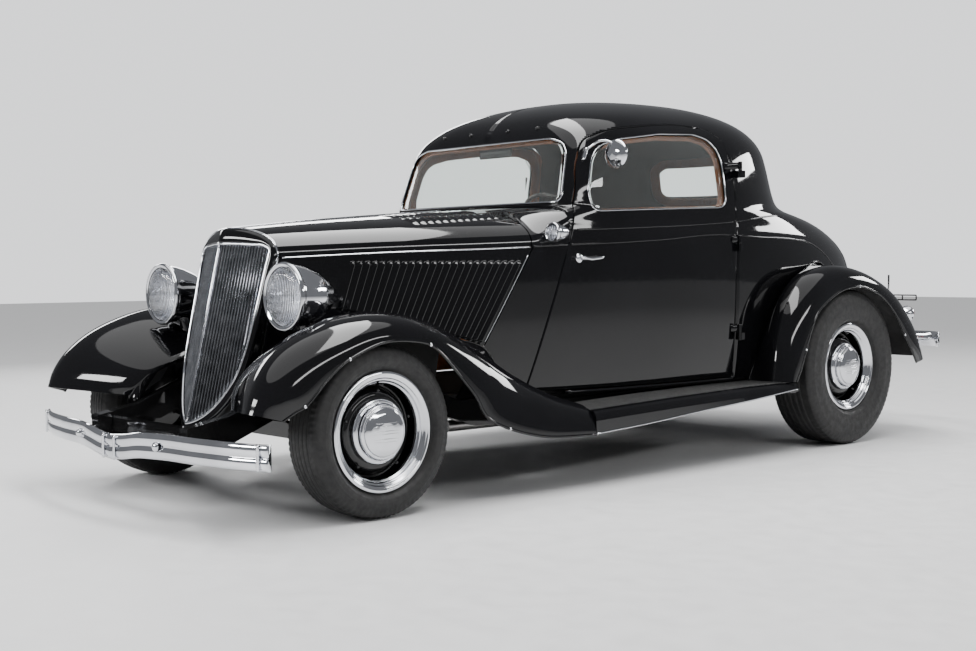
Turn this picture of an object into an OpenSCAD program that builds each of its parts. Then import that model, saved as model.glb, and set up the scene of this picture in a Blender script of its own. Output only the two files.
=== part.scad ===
// Fendered three-window coupe hot rod, millimetres, Z up, nose towards -Y, driver's side at +X.
// Station tables are drawn from the front axle; ctr() moves the car so that its box is centred.

/* [Chassis] */
// Distance between the axles
wheelbase = 2845; // [2370:5:3420]
// Width of the cabin across the doors
body_w = 1334; // [1110:2:1602]
// Height of the roof above the ground
roof_h = 1622; // [1350:1:1950]
// Outer diameter of a front tyre
front_tyre_d = 597; // [497:1:717]
// Section width of a front tyre
front_tyre_w = 185; // [154:1:222]
// Outer diameter of a rear tyre
rear_tyre_d = 746; // [621:1:896]
// Section width of a rear tyre
rear_tyre_w = 235; // [195:1:282]
// Bead seat diameter of the wheels
rim_d = 381; // [340:1:440]
// Front wheel plane outboard of the door skin
front_outset = 48; // [30:1:80]
// Rear wheel plane outboard of the door skin
rear_outset = 33; // [10:1:60]

/* [Panels] */
// Thickness of the cabin wall
wall = 26; // [16:1:32]
// Thickness of a door
door_t = 38; // [24:1:46]
// Thickness of fenders and hood panels
panel_t = 5; // [3:0.5:8]
// Gap around doors, hood and deck lid
gap = 5; // [3:0.5:8]
// Clearance between a piece and its seat
seat_gap = 0.4; // [0.2:0.1:0.8]
// Thickness of the glass
glass_t = 5; // [3:0.5:8]
// Height of a bumper bar
bumper_h = 90; // [60:1:120]
// Diameter of a headlight lens
lens_d = 231; // [180:1:270]

/* [Limits] */
// Diameter of the kingpin
kingpin_d = 22; // [16:1:30]
// Diameter of the steering wheel
helm_d = 400; // [330:5:450]
// Height of the seat cushion's top
seat_h = 610; // [540:5:680]
// Spacing of the plate holes across
plate_w = 177.8; // [150:0.1:220]
// Spacing of the plate holes in height
plate_h = 120.6; // [90:0.1:150]

/* [Hidden] */
$fn = 48;
dW = wheelbase - 2845;
dX = (body_w - 1334)/2;
kF = front_tyre_d/597;
kR = rear_tyre_d/746;
// maps from the drawn stations to the set sizes
function mx(x) = x + sign(x)*dX*min(1, abs(x)/600);
function my(y) = y < 900 ? y : y > 2300 ? y + dW : y + dW*(y - 900)/1400;
function mz(z) = z < 1090 ? z : 1090 + (z - 1090)*(roof_h - 1090)/(1622 - 1090);
function M(p) = [mx(p[0]), my(p[1]), mz(p[2])];
function MM(G) = [for (r = G) [for (p = r) M(p)]];
// fender stations grow about the wheel that they cover
function fF(p) = let(w = p[1] < 0 ? 1 : max(0, 1 - p[1]/1000), k = 1 + (kF - 1)*w)
  [mx(p[0]), my(p[1]*k), p[2]*k];
function fR(p) = [mx(p[0]), my(2845) + (p[1] - 2845)*kR, p[2]*kR];
nose_y = -500*(kF - 1);
front_bar_y = -600 + nose_y - 10;
rear_bar_y = my(2845) + 1120*(kR > 1 ? kR : 1) + 10;
mid_y = (front_bar_y + rear_bar_y)/2;
module ctr() translate([0, -mid_y, 0]) children();
module both() { children(); mirror([1, 0, 0]) children(); }

// smooth curve through rows [station, a, b, ...]
function seg(T, x, i = 0) = i >= len(T) - 2 || x < T[i + 1][0] ? i : seg(T, x, i + 1);
function slope(T, i) = i == 0 ? (T[1] - T[0])/(T[1][0] - T[0][0])
  : i == len(T) - 1 ? (T[i] - T[i - 1])/(T[i][0] - T[i - 1][0])
  : let(a = T[i][0] - T[i - 1][0], b = T[i + 1][0] - T[i][0])
    ((T[i + 1] - T[i])/b*a + (T[i] - T[i - 1])/a*b)/(a + b);
function sp(T, x) = let(i = seg(T, x), h = T[i + 1][0] - T[i][0], t = (x - T[i][0])/h, q = t*t, c = q*t)
  (2*c - 3*q + 1)*T[i] + (c - 2*q + t)*h*slope(T, i) + (3*q - 2*c)*T[i + 1] + (c - q)*h*slope(T, i + 1);
function unit(v) = v/max(norm(v), 1e-9);
function nrm(G, i, j, w) = let(m = len(G), n = len(G[0]))
  unit(cross(G[min(i + 1, m - 1)][j] - G[max(i - 1, 0)][j],
    w ? G[i][(j + 1)%n] - G[i][(j + n - 1)%n] : G[i][min(j + 1, n - 1)] - G[i][max(j - 1, 0)]));
function off(G, d, w = false) = [for (i = [0:len(G) - 1]) [for (j = [0:len(G[0]) - 1]) G[i][j] - d*nrm(G, i, j, w)]];
function flat(G) = [for (r = G) each r];
function rev(F) = [for (t = F) [for (k = [len(t) - 1:-1:0]) t[k]]];
// open sheet with thickness t behind it; t < 0 when the rows run the other way
module panel(G, t) {
  m = len(G); n = len(G[0]); N = m*n;
  top = [for (i = [0:m - 2], j = [0:n - 2]) let(a = i*n + j, b = a + 1, c = a + n, d = c + 1) each [[a, b, d], [a, d, c]]];
  rim = concat([for (j = [0:n - 2]) j], [for (i = [0:m - 2]) i*n + n - 1],
    [for (j = [n - 1:-1:1]) (m - 1)*n + j], [for (i = [m - 1:-1:1]) i*n]);
  R = len(rim);
  F = concat(top, [for (f = top) [f[0] + N, f[2] + N, f[1] + N]],
    [for (k = [0:R - 1]) let(a = rim[k], b = rim[(k + 1)%R]) each [[b, a, a + N], [b, a + N, b + N]]]);
  polyhedron(concat(flat(G), flat(off(G, t))), t > 0 ? F : rev(F));
}
// closed rings joined in order, fan caps
module loft(S, f = false) {
  m = len(S); n = len(S[0]);
  F = concat([for (i = [0:m - 2], j = [0:n - 1]) let(a = i*n + j, b = i*n + (j + 1)%n, c = b + n, d = a + n) each [[a, b, c], [a, c, d]]],
    [for (j = [1:n - 2]) [0, j + 1, j]], [for (j = [1:n - 2]) let(o = (m - 1)*n) [o, o + j, o + j + 1]]);
  polyhedron(flat(S), f ? rev(F) : F);
}
// outline in side view pushed through the car
module side(P, x0, x1) { Q = [for (p = P) [my(p[0]), mz(p[1])]];
  translate([x0, 0, 0]) rotate([90, 0, 90]) linear_extrude(x1 - x0) polygon(Q); }
// outline seen from the front, pushed along Y
module front(P, y0, y1) { Q = [for (p = P) [mx(p[0]), mz(p[1])]];
  translate([0, y1, 0]) rotate([90, 0, 0]) linear_extrude(y1 - y0) polygon(Q); }
module box(a, b) translate(a) cube(b - a);
module rod(a, b, r) { v = b - a; translate(a) rotate([0, acos(v[2]/norm(v)), atan2(v[1], v[0])]) cylinder(r = r, h = norm(v)); }

// cabin: plan half-width, and rings by height
HW = [[-60, 250], [300, 361], [600, 450], [900, 535], [1120, 590], [1600, 650], [2050, 667], [2400, 667]];
// height, half-width, front, front power, rear, rear power
RG = [[340, 642, 650, 14, 3600, 2.1], [450, 652, 650, 14, 3700, 2.1], [600, 661, 650, 14, 3762, 2.1],
  [750, 666, 650, 14, 3772, 2.1], [880, 667, 650, 14, 3715, 2.1], [950, 667, 650, 14, 3640, 2.1],
  [1000, 664, 650, 14, 3550, 2.1], [1045, 656, 850, 14, 3440, 2.1], [1080, 652, 1000, 14, 3310, 2.1],
  [1105, 650, 1106, 14, 3170, 2.1], [1125, 648, 1118, 14, 3040, 2.1], [1150, 646, 1126, 14, 2960, 2.1],
  [1195, 642, 1140, 14, 2905, 2.15], [1265, 632, 1160, 13, 2865, 2.2], [1335, 618, 1180, 12, 2835, 2.25],
  [1400, 598, 1202, 10, 2805, 2.3], [1455, 568, 1232, 7, 2765, 2.3], [1505, 520, 1285, 5, 2700, 2.3],
  [1548, 450, 1370, 3.6, 2610, 2.3], [1580, 370, 1485, 2.9, 2500, 2.2], [1603, 275, 1625, 2.4, 2375, 2.1],
  [1616, 165, 1790, 2.1, 2240, 2], [1620.5, 90, 1900, 2, 2140, 2]];
FA = [0, 14, 26, 34, 39.5, 43, 46, 50, 55.5, 63, 71, 80];
function se(f, n) = let(r = pow(pow(cos(f), n) + pow(sin(f), n), -1/n)) [r*sin(f), r*cos(f)];
function halfring(r) = let(a = r[1], E = 2050 - r[2], B = r[4] - 2050)
  concat([for (f = FA) let(q = se(f, r[3]), y = 2050 - E*q[1]) [a*q[0]*sp(HW, y)[1]/667, y, r[0]]],
    [for (f = [90:-9:0]) let(q = se(f, r[5])) [a*(f < 1 ? 0 : q[0]), 2050 + B*q[1], r[0]]]);
function ring(r) = let(h = [for (p = halfring(r)) M(p)], n = len(h))
  concat(h, [for (i = [n - 2:-1:1]) [-h[i][0], h[i][1], h[i][2]]]);
RINGS = [for (r = RG) ring(r)];
// closed solid inside the cabin surface moved inwards by d
module hull_of_cabin(d, drop = 0) let(G = off(RINGS, -d, true))
  loft([for (i = [0:len(G) - 1]) [for (p = G[i]) i == 0 ? [p[0], p[1], 340 - drop] : p]], true);
module skin(d, t) difference() { hull_of_cabin(d); hull_of_cabin(d + t, 30); }
// half-width of the cabin at a place behind the doors
function rcol(z, k) = lookup(z, [for (r = RG) [r[0], r[k]]]);
function bx(y, z) = rcol(z, 1)*pow(1 - pow(max(0, y - 2050)/(rcol(z, 4) - 2050), rcol(z, 5)), 1/rcol(z, 5));

DOOR = [[928, 358], [1120, 954], [1150, 1050], [1185, 1170], [1212, 1290], [1262, 1378], [1330, 1408], [1567, 1452],
  [1909, 1474], [2060, 1458], [2108, 1420], [2118, 1370], [2118, 358]];
WIN = [[1240, 1120], [1232, 1173], [1267, 1298], [1300, 1345], [1345, 1371], [1440, 1398], [1693, 1434], [1930, 1446],
  [2010, 1428], [2055, 1385], [2072, 1330], [2074, 1160], [2064, 1132], [2036, 1118], [1278, 1086], [1252, 1096]];
SHIELD = [[-505, 1122], [-525, 1140], [-500, 1330], [-470, 1375], [-400, 1398], [400, 1398], [470, 1375], [500, 1330], [525, 1140], [505, 1122]];
REARW = [[-300, 1225], [-330, 1250], [-315, 1370], [-270, 1400], [270, 1400], [315, 1370], [330, 1250], [300, 1225]];
LID = [[-405, 3130], [-330, 3040], [330, 3040], [405, 3130], [440, 3900], [-440, 3900]];
module plan(P, z0, z1) translate([0, 0, z0]) linear_extrude(z1 - z0) polygon([for (p = P) [mx(p[0]), my(p[1])]]);
module arch(r, x0, x1) translate([x0, my(2845), rear_tyre_d/2]) rotate([0, 90, 0]) cylinder(r = r, h = x1 - x0, $fn = 64);
module door_hole() translate([300, 0, 0]) rotate([90, 0, 90]) linear_extrude(600)
  offset(delta = gap) polygon([for (p = DOOR) [my(p[0]), mz(p[1])]]);
arch_r = rear_tyre_d/2 + 62;
module body_shell() color("#101012") ctr() resize([0, 0, 0]) difference() {
  skin(0, wall);
  both() door_hole();
  front(SHIELD, my(1000), my(1500));
  front(REARW, my(2500), my(3100));
  // ahead of the door posts only the pillars and roof stay
  box([-900, -200, 0], [900, my(1115) + 1.8, 1500]);
  box([-900, my(1100), 300], [900, my(2118) + gap, 346]);
  intersection() {
    plan(LID, 0, 1500);
    box([-900, my(2900), 560 - gap], [900, my(4000), 1300]);
  }
  both() arch(arch_r, 300, 900);
  both() translate([300, my(2845) - arch_r, 0]) cube([600, 2*arch_r, rear_tyre_d/2]);
}
module deck_lid() color("#101012") ctr() resize([0, 0, 0]) {
  intersection() {
    skin(0, 20);
    translate([0, 0, 560]) linear_extrude(900) offset(delta = -gap) polygon([for (p = LID) [mx(p[0]), my(p[1])]]);
  }
  both() translate(M(LIDH)) { rotate([0, 90, 0]) cylinder(r = 6, h = 20);
    translate([0, -2, -3.6]) cube([20, 38, 2.6]); translate([0, 22, -24]) cube([20, 14, 22]); }
}
// deck lid hinge line
LIDH = [200, 3030, 1131];
module door_left() color("#101012") ctr() resize([0, 0, 0]) difference() {
  intersection() { skin(0, door_t); side(DOOR, 300, 900); }
  side(WIN, 300, 900);
}
module glass_of(P, g) offset(delta = -g) polygon(P);
module door_glass_left() color("#9fb4bd") ctr() resize([0, 0, 0]) intersection() {
  skin(12, glass_t);
  translate([300, 0, 0]) rotate([90, 0, 90]) linear_extrude(600) glass_of([for (p = WIN) [my(p[0]), mz(p[1])]], seat_gap);
}
module windshield() color("#9fb4bd") ctr() resize([0, 0, 0]) intersection() {
  skin(10, glass_t);
  translate([0, my(1500), 0]) rotate([90, 0, 0]) linear_extrude(500) glass_of([for (p = SHIELD) [mx(p[0]), mz(p[1])]], seat_gap);
}
module rear_window() color("#9fb4bd") ctr() resize([0, 0, 0]) intersection() {
  skin(10, glass_t);
  translate([0, my(3100), 0]) rotate([90, 0, 0]) linear_extrude(600) glass_of([for (p = REARW) [mx(p[0]), mz(p[1])]], seat_gap);
}
// hood and cowl: shoulder height and centre height along the car
ZS = [[-60, 897], [300, 915], [900, 938], [1160, 950]];
ZC = [[-110, 1008], [200, 1040], [500, 1066], [880, 1094], [1160, 1112]];
function bw(y) = sp(HW, y)[1];
function zs(y) = sp(ZS, y)[1];
function zc(y) = sp(ZC, y)[1];
// half-width of the side below the shoulder
SW = [[300, 0.955], [450, 0.978], [600, 0.991], [750, 0.998], [880, 1], [1000, 1]];
function sx(y, z) = bw(y)*sp(SW, z)[1];
function top(y, t, g) = let(x = bw(y)*pow(sin(t), 2/2.4)) [max(x, g), y, zs(y) + (zc(y) - zs(y))*pow(cos(t), 2/2.4)];
function hood_front(x) = -104 + 50*x/250;
function hood_rear(z) = 945 - (925 - z)*0.54;
function side_front(z) = -54 - (897 - z)*0.18;
module hood_top_left() color("#101012") ctr() resize([0, 0, 0]) {
  panel(MM([for (t = [0:7.5:90]) [for (k = [0:12])
    let(y0 = hood_front(250*sin(t)), y = y0 + (943 - y0)*k/12) top(y, min(t, 89.6), gap/2)]]), panel_t);
  loft([for (k = [0:12]) let(y = -40 + 970*k/12, x = bw(y) - panel_t - seat_gap - 0.3, z = zs(y))
    [for (q = [[-7, -28], [0, -28], [0, -2], [4, 2], [4, 14], [-7, 14]]) M([x + q[0], y, z + q[1]])]]);
}
// the two hood tops turn about one straight pin above the crest
function pin_z(y) = 1014.5 + (y + 110)*0.0878;
module hood_hinge() color("#101012") ctr() { rod(M([0, -106, pin_z(-106)]), M([0, 940, pin_z(940)]), gap/2 - seat_gap);
  loft([for (k = [0:12]) let(y = -107.9 + 1049*k/12, w = gap/2 - seat_gap)
    [for (q = [[-w, zc(y) - 11], [w, zc(y) - 11], [w/2, pin_z(y)], [-w/2, pin_z(y)]]) [q[0], my(y), mz(q[1])]]]);
}
// lowest line of the hood side follows the fender
function sill(y) = fender_in(y) + 2.5;
module hood_side_left() color("#101012") ctr() panel([for (i = [0:8]) [for (k = [0:14])
  let(f = k/14, yt = -50 + 993*f, zt = zs(yt) - gap, yb = -92 + 832*f, zb = sill(yb),
    z = zt + (zb - zt)*i/8, y0 = side_front(z), y1 = hood_rear(z) - 2, y = y0 + (y1 - y0)*f)
  M([sx(y, min(z, 999)), y, z])]], panel_t);
module cowl() color("#101012") ctr() resize([0, 0, 0]) {
  both() difference() { panel(MM([for (i = [0:12]) [for (k = [0:5]) let(f = k/5)
    i < 5 ? let(t = i*18, y0 = 943 + gap, y = y0 + (1115 - y0)*f) [bw(y)*pow(sin(t), 2/(2.4 + 4*f*f)), y, zs(y) + (zc(y) - zs(y))*pow(cos(t), 2/(2.4 + 4*f*f))]
    : let(z = 944 - (944 - 348)*(i - 5)/7, y0 = hood_rear(z) - 2 + gap, y1 = min(1120, 1120 - (954 - z)*0.3236) - gap - 4, y = y0 + (y1 - y0)*f)
      [sx(y, z), y, z]]]), 14);
    box([0, my(1115) + 0.2, 950], [900, my(1200), 1300]); }
  multmatrix([[1, 0, 0, 0], [0, 1, 0.54, 957 - 925*0.54], [0, 0, 1, 0], [0, 0, 0, 1]]) translate([0, 12, 0]) rotate([90, 0, 0]) linear_extrude(12)
    polygon([for (h = [1, -1]) each let(P = [[438, 348], [473, 500], [508, 700], [537, 930], [512, 1011], [450, 1045], [220, 1088]])
      h > 0 ? [for (p = P) [mx(p[0]), p[1]]] : [for (k = [6:-1:0]) [-mx(P[k][0]), P[k][1]]]]);
}
// front fender curves by station: crown x y z, lip x y z, inner x y z
FC = [[0, 712, -498, 392, 781, -403, 366, 372, -330, 372], [1, 705, -474, 458, 800, -370, 392, 350, -318, 400],
  [2, 690, -425, 530, 812, -325, 420, 330, -290, 440], [3, 672, -345, 597, 818, -245, 500, 312, -235, 480],
  [4, 655, -235, 652, 820, -163, 556, 298, -150, 505], [5, 645, -100, 692, 820, -16, 606, 300, -40, 525],
  [6, 645, 60, 706, 820, 137, 602, 330, 110, 550], [7, 652, 240, 676, 820, 214, 573, 372, 260, 585],
  [8, 664, 395, 612, 820, 297, 498, 415, 400, 608], [9, 678, 525, 540, 821, 391, 402, 455, 540, 592],
  [10, 692, 680, 450, 824, 475, 300, 498, 740, 545], [11, 706, 850, 372, 832, 717, 226, 545, 850, 385],
  [12, 716, 1005, 324, 840, 1005, 207, 585, 1005, 322]];
function fender_in(y) = lookup(y, [for (i = [7:24]) let(r = sp(FC, i/2), p = fF([r[7], r[8], r[9]])) [p[1], p[2]]]);
RT = [[-500, 312], [-330, 345], [-120, 430], [150, 450], [430, 430], [640, 340], [2260, 340], [2500, 560], [3040, 560], [3290, 330], [3560, 330]];
RX = [[-500, 350], [-100, 350], [200, 372], [1100, 520], [1400, 540], [2500, 540], [3000, 480], [3300, 400], [3560, 380]];
function inner(s, I) = s < 5 ? I : [sx(I[1], I[2]) + 0.8, I[1], I[2]];
function apron(s, I) = s <= 9 ? [lookup(I[1], RX) - 12, I[1], lookup(I[1], RT) + 7]
  : s < 10 ? [I[0], I[1], I[2] - 60] : [I[0], I[1], I[2] - 30];
function qr(a, t, n) = [1 - pow(cos(t), 2/n), pow(sin(t), 2/n)][a];
function mixp(c, l, t, n) = [c[0] + (l[0] - c[0])*qr(1, t, n), c[1] + (l[1] - c[1])*qr(0, t, n), c[2] + (l[2] - c[2])*qr(0, t, n)];
FFG = [for (i = [0:24]) let(r = sp(FC, i/2), C = [r[1], r[2], r[3]], L = [r[4], r[5], r[6]], I = inner(i/2, [r[7], r[8], r[9]]))
  concat([for (p = concat([for (t = [90:-15:15]) mixp(C, L, t, 2.3)], [for (t = [0:15:90]) mixp(C, I, t, 1.25)])) fF(p)],
    [let(A = apron(i/2, fF(I))) [mx(A[0]), A[1], A[2]]])];
module front_fender_left() color("#101012") ctr() panel(FFG, panel_t);
// rear fender: crown, lip and inner edge on the quarter
RC = [[0, 714, 2258, 331, 836, 2345, 331, 2240, 331], [1, 715, 2290, 500, 840, 2372, 385, 2330, 490],
  [2, 720, 2345, 640, 842, 2410, 473, 2420, 560], [3, 722, 2430, 745, 842, 2452, 565, 2500, 660],
  [4, 722, 2535, 815, 842, 2520, 655, 2600, 750], [5, 722, 2650, 848, 842, 2684, 736, 2720, 838],
  [6, 722, 2760, 860, 842, 2850, 758, 2846, 878], [7, 722, 2900, 848, 842, 2980, 732, 2940, 860],
  [8, 720, 3050, 812, 842, 3077, 690, 3060, 800], [9, 712, 3228, 742, 842, 3180, 612, 3200, 720],
  [10, 700, 3380, 640, 840, 3265, 512, 3330, 620], [11, 692, 3490, 520, 838, 3335, 432, 3420, 510],
  [12, 684, 3560, 390, 832, 3392, 366, 3470, 400]];
RFG = [for (i = [0:24]) let(r = sp(RC, i/2), C = [r[1], r[2], r[3]], L = [r[4], r[5], r[6]], I = [bx(r[7], r[8]) + 4, r[7], r[8]])
  [for (p = concat([for (t = [90:-15:15]) mixp(C, L, t, 2.3)], [for (t = [0:18:90]) mixp(C, I, t, 2)])) fR(p)]];
module rear_fender_left() color("#101012") ctr() panel(RFG, panel_t);
// running board
RB = [[1006, 207, 300], [1320, 223, 310], [1640, 246, 319], [2060, 273, 327], [2200, 284, 327], [2352, 296, 327]];
module running_board_left() color("#18181a") ctr() loft([for (k = [0:9]) let(y = 1005.5 + k*149.5, r = sp(RB, y)) [
  M([560, y, r[2] - 34]), M([560, y, r[2]]), M([700, y, r[2] + 2]), M([812, y, r[2]]), M([832, y, r[2] - 12]), M([840, y, r[2] - 40]), M([842, y, r[1]]), M([836, y, r[1]]),
  M([826, y, r[2] - 46]), M([812, y, r[2] - 34])]], true);
// frame rails: side outline crossed with a plan strip
module frame() color("#1b1b1d") ctr() difference() {
  union() {
    both() intersection() {
      translate([mx(300), 0, 0]) rotate([90, 0, 90]) linear_extrude(mx(620) - mx(300)) polygon([for (p = [each RT, [3560, 250], [3260, 250], [3010, 470], [2540, 460], [2300, 236],
        [720, 236], [430, 330], [150, 350], [-120, 330], [-330, 245], [-500, 222]]) [my(p[0]), p[1]]]);
      plan(concat([for (r = RX) [r[1], r[0]]], [for (k = [len(RX) - 1:-1:0]) [RX[k][1] - 50, RX[k][0]]]), 0, 700);
    }
    box([-mx(315), -60, 352], [mx(315), 60, 428]);
    box([-mx(300), -440, 250], [mx(300), -400, 300]);
    box([-mx(480), my(1240), 245], [mx(480), my(1300), 325]);
    box([-mx(500), my(2160), 245], [mx(500), my(2220), 325]);
    box([-mx(345), my(3440), 255], [mx(345), my(3480), 325]);
  }
}
// floor, kick-up, trunk floor and wheel housings
module floor_pan() color("#232326") ctr() {
  plan([for (h = [1, -1]) each let(P = [[428, 668], [478, 985], [510, 1120], [560, 1600], [572, 2050], [572, 2258]])
    h > 0 ? P : [for (k = [5:-1:0]) [-P[k][0], P[k][1]]]], 340 + seat_gap, 354);
  box([-mx(545), my(2250), 340 + seat_gap], [mx(545), my(2258), 568]);
  plan([for (h = [1, -1]) each let(P = [[545, 2250], [545, 2900], [470, 3150], [385, 3350], [270, 3520]]) h > 0 ? P : [for (k = [4:-1:0]) [-P[k][0], P[k][1]]]], 560 + seat_gap, 572);
  both() box([mx(545), my(2250), 560 + seat_gap], [mx(552), my(2900), arch_r + rear_tyre_d/2 - 20]);
  both() plan([[545, 2390], [618, 2390], [600, 2600], [552, 2900], [545, 2900]], arch_r + rear_tyre_d/2 - 28, arch_r + rear_tyre_d/2 - 20);
}
// grille: outline by height, prow line and depth
GO = [[249, 14], [275, 74], [310, 126], [360, 166], [430, 200], [530, 222], [680, 236], [860, 246], [905, 250]];
function prow(z) = -308 + (z - 249)*0.229;
function vee(x, z) = prow(z) + abs(x)*0.33;
OUT = concat([[0, 240]], [for (g = GO) [g[1], g[0]]], [[236, 945], [200, 972], [140, 992], [70, 1003], [0.5, 1006]]);
IN = [[0, 290], [10, 292], [60, 312], [108, 350], [148, 400], [180, 455], [203, 540], [217, 680], [226, 850], [230, 900], [230, 925],
  [205, 940], [140, 946], [66, 950], [0.5, 951]];
MID = (OUT + IN)/2;
function full(P) = concat([for (i = [len(P) - 1:-1:1]) [-P[i][0], P[i][1]]], P);
module grille_shell() color("#101012") ctr() panel(MM([
  [for (p = full(IN)) [p[0], vee(p[0], p[1]) + 16, p[1]]], [for (p = full(IN)) [p[0], vee(p[0], p[1]) - 2, p[1]]],
  [for (p = full(MID)) [p[0], vee(p[0], p[1]) - 6, p[1]]], [for (p = full(OUT)) [p[0], vee(p[0], p[1]) + 6, p[1]]],
  [for (p = full(OUT)) [p[0]*1.002 + sign(p[0]), p[1] > 890 ? hood_front(abs(p[0])) - gap : min(side_front(p[1]) - gap, vee(p[0], p[1]) + 96), p[1] + 1]]]), panel_t);
function ospan(x) = let(P = IN) [lookup(x, [for (i = [0:9]) [P[i][0], P[i][1]]]), lookup(-x, [for (i = [9:len(P) - 1]) [-P[i][0], P[i][1]]])];
module grille_bars() color("#55585c") ctr() resize([0, 0, 0]) union() {
  for (i = [-15:15]) let(x = i*14.5, s = ospan(abs(x) + 2.5), z0 = s[0] + seat_gap, z1 = s[1] - seat_gap)
    loft([for (z = [z0, z1]) [M([x - 2.5, vee(x, z) + 6, z]), M([x + 2.5, vee(x, z) + 6, z]), M([x + 2.5, vee(x, z) + 26, z]), M([x - 2.5, vee(x, z) + 26, z])]], true);
  for (q = [[470, 176], [640, 206], [800, 218]]) both() let(z = q[0]) loft([for (x = [0, q[1]]) [M([x, vee(x, z) + 12, z - 3]), M([x, vee(x, z) + 12, z + 3]), M([x, vee(x, z) + 24, z + 3]), M([x, vee(x, z) + 24, z - 3])]], false);
}
module radiator() color("#2a2c2e") ctr() { box([-mx(200), -50, 428 + seat_gap], [mx(200), 10, 900]); box([-mx(233), -100, 700], [mx(233), -49, 706]); }
module engine() color("#3c3f42") ctr() { box([-mx(220), 80, 430 + 1], [mx(220), my(640), 860]); box([-mx(120), my(400), 262], [mx(120), my(1230), 330]); box([-mx(362), 330, 437.2 + seat_gap], [mx(362), 430, 500]); box([-mx(120), my(500), 320], [mx(120), my(640), 440]); }
// bumpers
FB = [[0, -600, 232, 0], [90, -598, 240, 0], [180, -592, 252, 0], [282, -572, 255, 0], [500, -545, 255, 0], [700, -500, 254, 0], [797, -462, 254, 0]];
RBp = [[0, 3965, 455, 0], [300, 3955, 458, 0], [550, 3905, 462, 0], [700, 3810, 466, 0], [770, 3720, 468, 0]];
function bar(T, x, s, h, d) = let(r = sp(T, abs(x)), y = d < 0 ? r[1] + nose_y : rear_bar_y - 3975 + r[1], z = r[2])
  [for (q = [[0, -0.5], [7, -0.42], [10, -0.2], [7, -0.04], [7, 0.04], [10, 0.2], [7, 0.42], [0, 0.5], [-4, 0.5], [-4, -0.5]]) [mx(x), y + d*q[0], z + h*q[1]]];
module front_bumper() color("#c9ccd1") ctr() { loft([for (x = [-797, -740, -660, -560, -450, -360, -282, -230, -180, -135, -90, -45, 0, 45, 90, 135, 180, 230, 282, 360, 450, 560, 660, 740, 797]) bar(FB, x, 0, bumper_h, -1)], false);
  both() { translate([mx(282), -566 + nose_y - 20, 255]) rotate([-90, 0, 0]) cylinder(r = 17, h = 30);
    box([mx(300) - 9 + 22, -562 + nose_y, 238], [mx(300) + 9 + 22, -500 - seat_gap, 272]); } }
module rear_bumper() color("#c9ccd1") ctr() { loft([for (x = [-770, -700, -620, -540, -430, -300, -150, 0, 150, 300, 430, 540, 620, 700, 770]) bar(RBp, x, 0, bumper_h*0.9, 1)], true);
  both() translate([mx(345), 0, 0]) rotate([90, 0, 90]) linear_extrude(20) polygon(let(e = rear_bar_y - 3975) [[my(3560) + seat_gap, 262], [my(3560) + seat_gap, 322], [my(3720), 322],
    [e + 3900, 470], [e + 3950, 470], [e + 3950, 430], [e + 3908, 425], [my(3740), 262]]); }
// lamps
BUCKET = [[lens_d/2 + 6, 0], [lens_d/2 + 8, 6], [lens_d/2 + 6, 14], [lens_d/2, 22], [lens_d/2 - 3, 50], [lens_d/2 - 12, 88],
  [lens_d/2 - 30, 136], [lens_d/2 - 56, 180], [lens_d/2 - 88, 220], [12, 241]];
module headlights() color("#c9ccd1") ctr() both() translate([mx(426), -161 + nose_y*0.3, 758 + (kF - 1)*600]) rotate([-90, 0, 0]) difference() {
  union() {
    rotate_extrude() polygon([[0, 4], [lens_d/2 - 8, 4], [lens_d/2 - 8, 0], each BUCKET, [0, 244]]);
  }
  translate([0, 0, -1]) cylinder(r = lens_d/2 - 8 - 0.5, h = 20);
}
module headlight_lenses() color("#dfe6ea") ctr() both() translate([mx(426), -161 + nose_y*0.3, 758 + (kF - 1)*600]) rotate([-90, 0, 0])
  rotate_extrude() polygon([[0, -14], [40, -12], [80, -6], [lens_d/2 - 9.5, 2], [lens_d/2 - 9.5, 18.6], [0, 18.6]]);
module headlight_stands() color("#101012") ctr() both() let(z0 = 758 + (kF - 1)*600, b = fF([400, -70, 628]))
  resize([0, 0, 0]) difference() {
    hull() { translate([mx(426), -60 + nose_y*0.3, z0 - 70]) cylinder(r = 24, h = 10); translate([mx(408), -30 + nose_y*0.3, b[2] - 40]) cylinder(r = 40, h = 4); }
    translate([mx(426), -161 + nose_y*0.3, z0]) rotate([-90, 0, 0]) rotate_extrude() polygon(concat([[0, -9]], [for (q = BUCKET) [q[0] + seat_gap, q[1]]], [[0, 248]]));
    panel(off(FFG, -seat_gap), 80);
  }
module cowl_lamps() color("#c9ccd1") ctr() both() {
  translate([mx(596), my(1020), 1004]) rotate([-90, 0, 0]) rotate_extrude() polygon([[0, -30], [22, -28], [27, -20], [26, 0], [20, 34], [10, 60], [0, 66]]);
  translate([mx(558.6) + seat_gap, my(1020), 985]) rotate([0, 90, 0]) cylinder(r = 6, h = 40);
}
module tail_lamps() color("#b3121a") ctr() both() resize([0, 0, 0]) difference() {
  translate(fR([622, 3610, 602])) rotate([-90, 0, 0]) rotate_extrude() polygon([[0, -220], [16, -220], [16, 0], [34, 18], [42, 40], [40, 54], [30, 64], [0, 70]]);
  panel(off(RFG, -seat_gap), 90);
}
module plate_bracket() color("#101012") ctr() difference() {
  union() { box([-mx(110), my(3800) - 4, 560], [mx(110), my(3800), 560 + plate_h + 40]); box([-20, my(3764.6) + seat_gap, 600], [20, my(3800) - 1, 640]); }
  for (x = [-plate_w/2, plate_w/2], z = [0, plate_h]) translate([x, my(3800) + 5, 580 + z]) rotate([90, 0, 0]) cylinder(r = 3.5, h = 20);
  box([-60, my(3800) - 20, 610], [60, my(3800) + 20, 660]);
}
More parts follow.
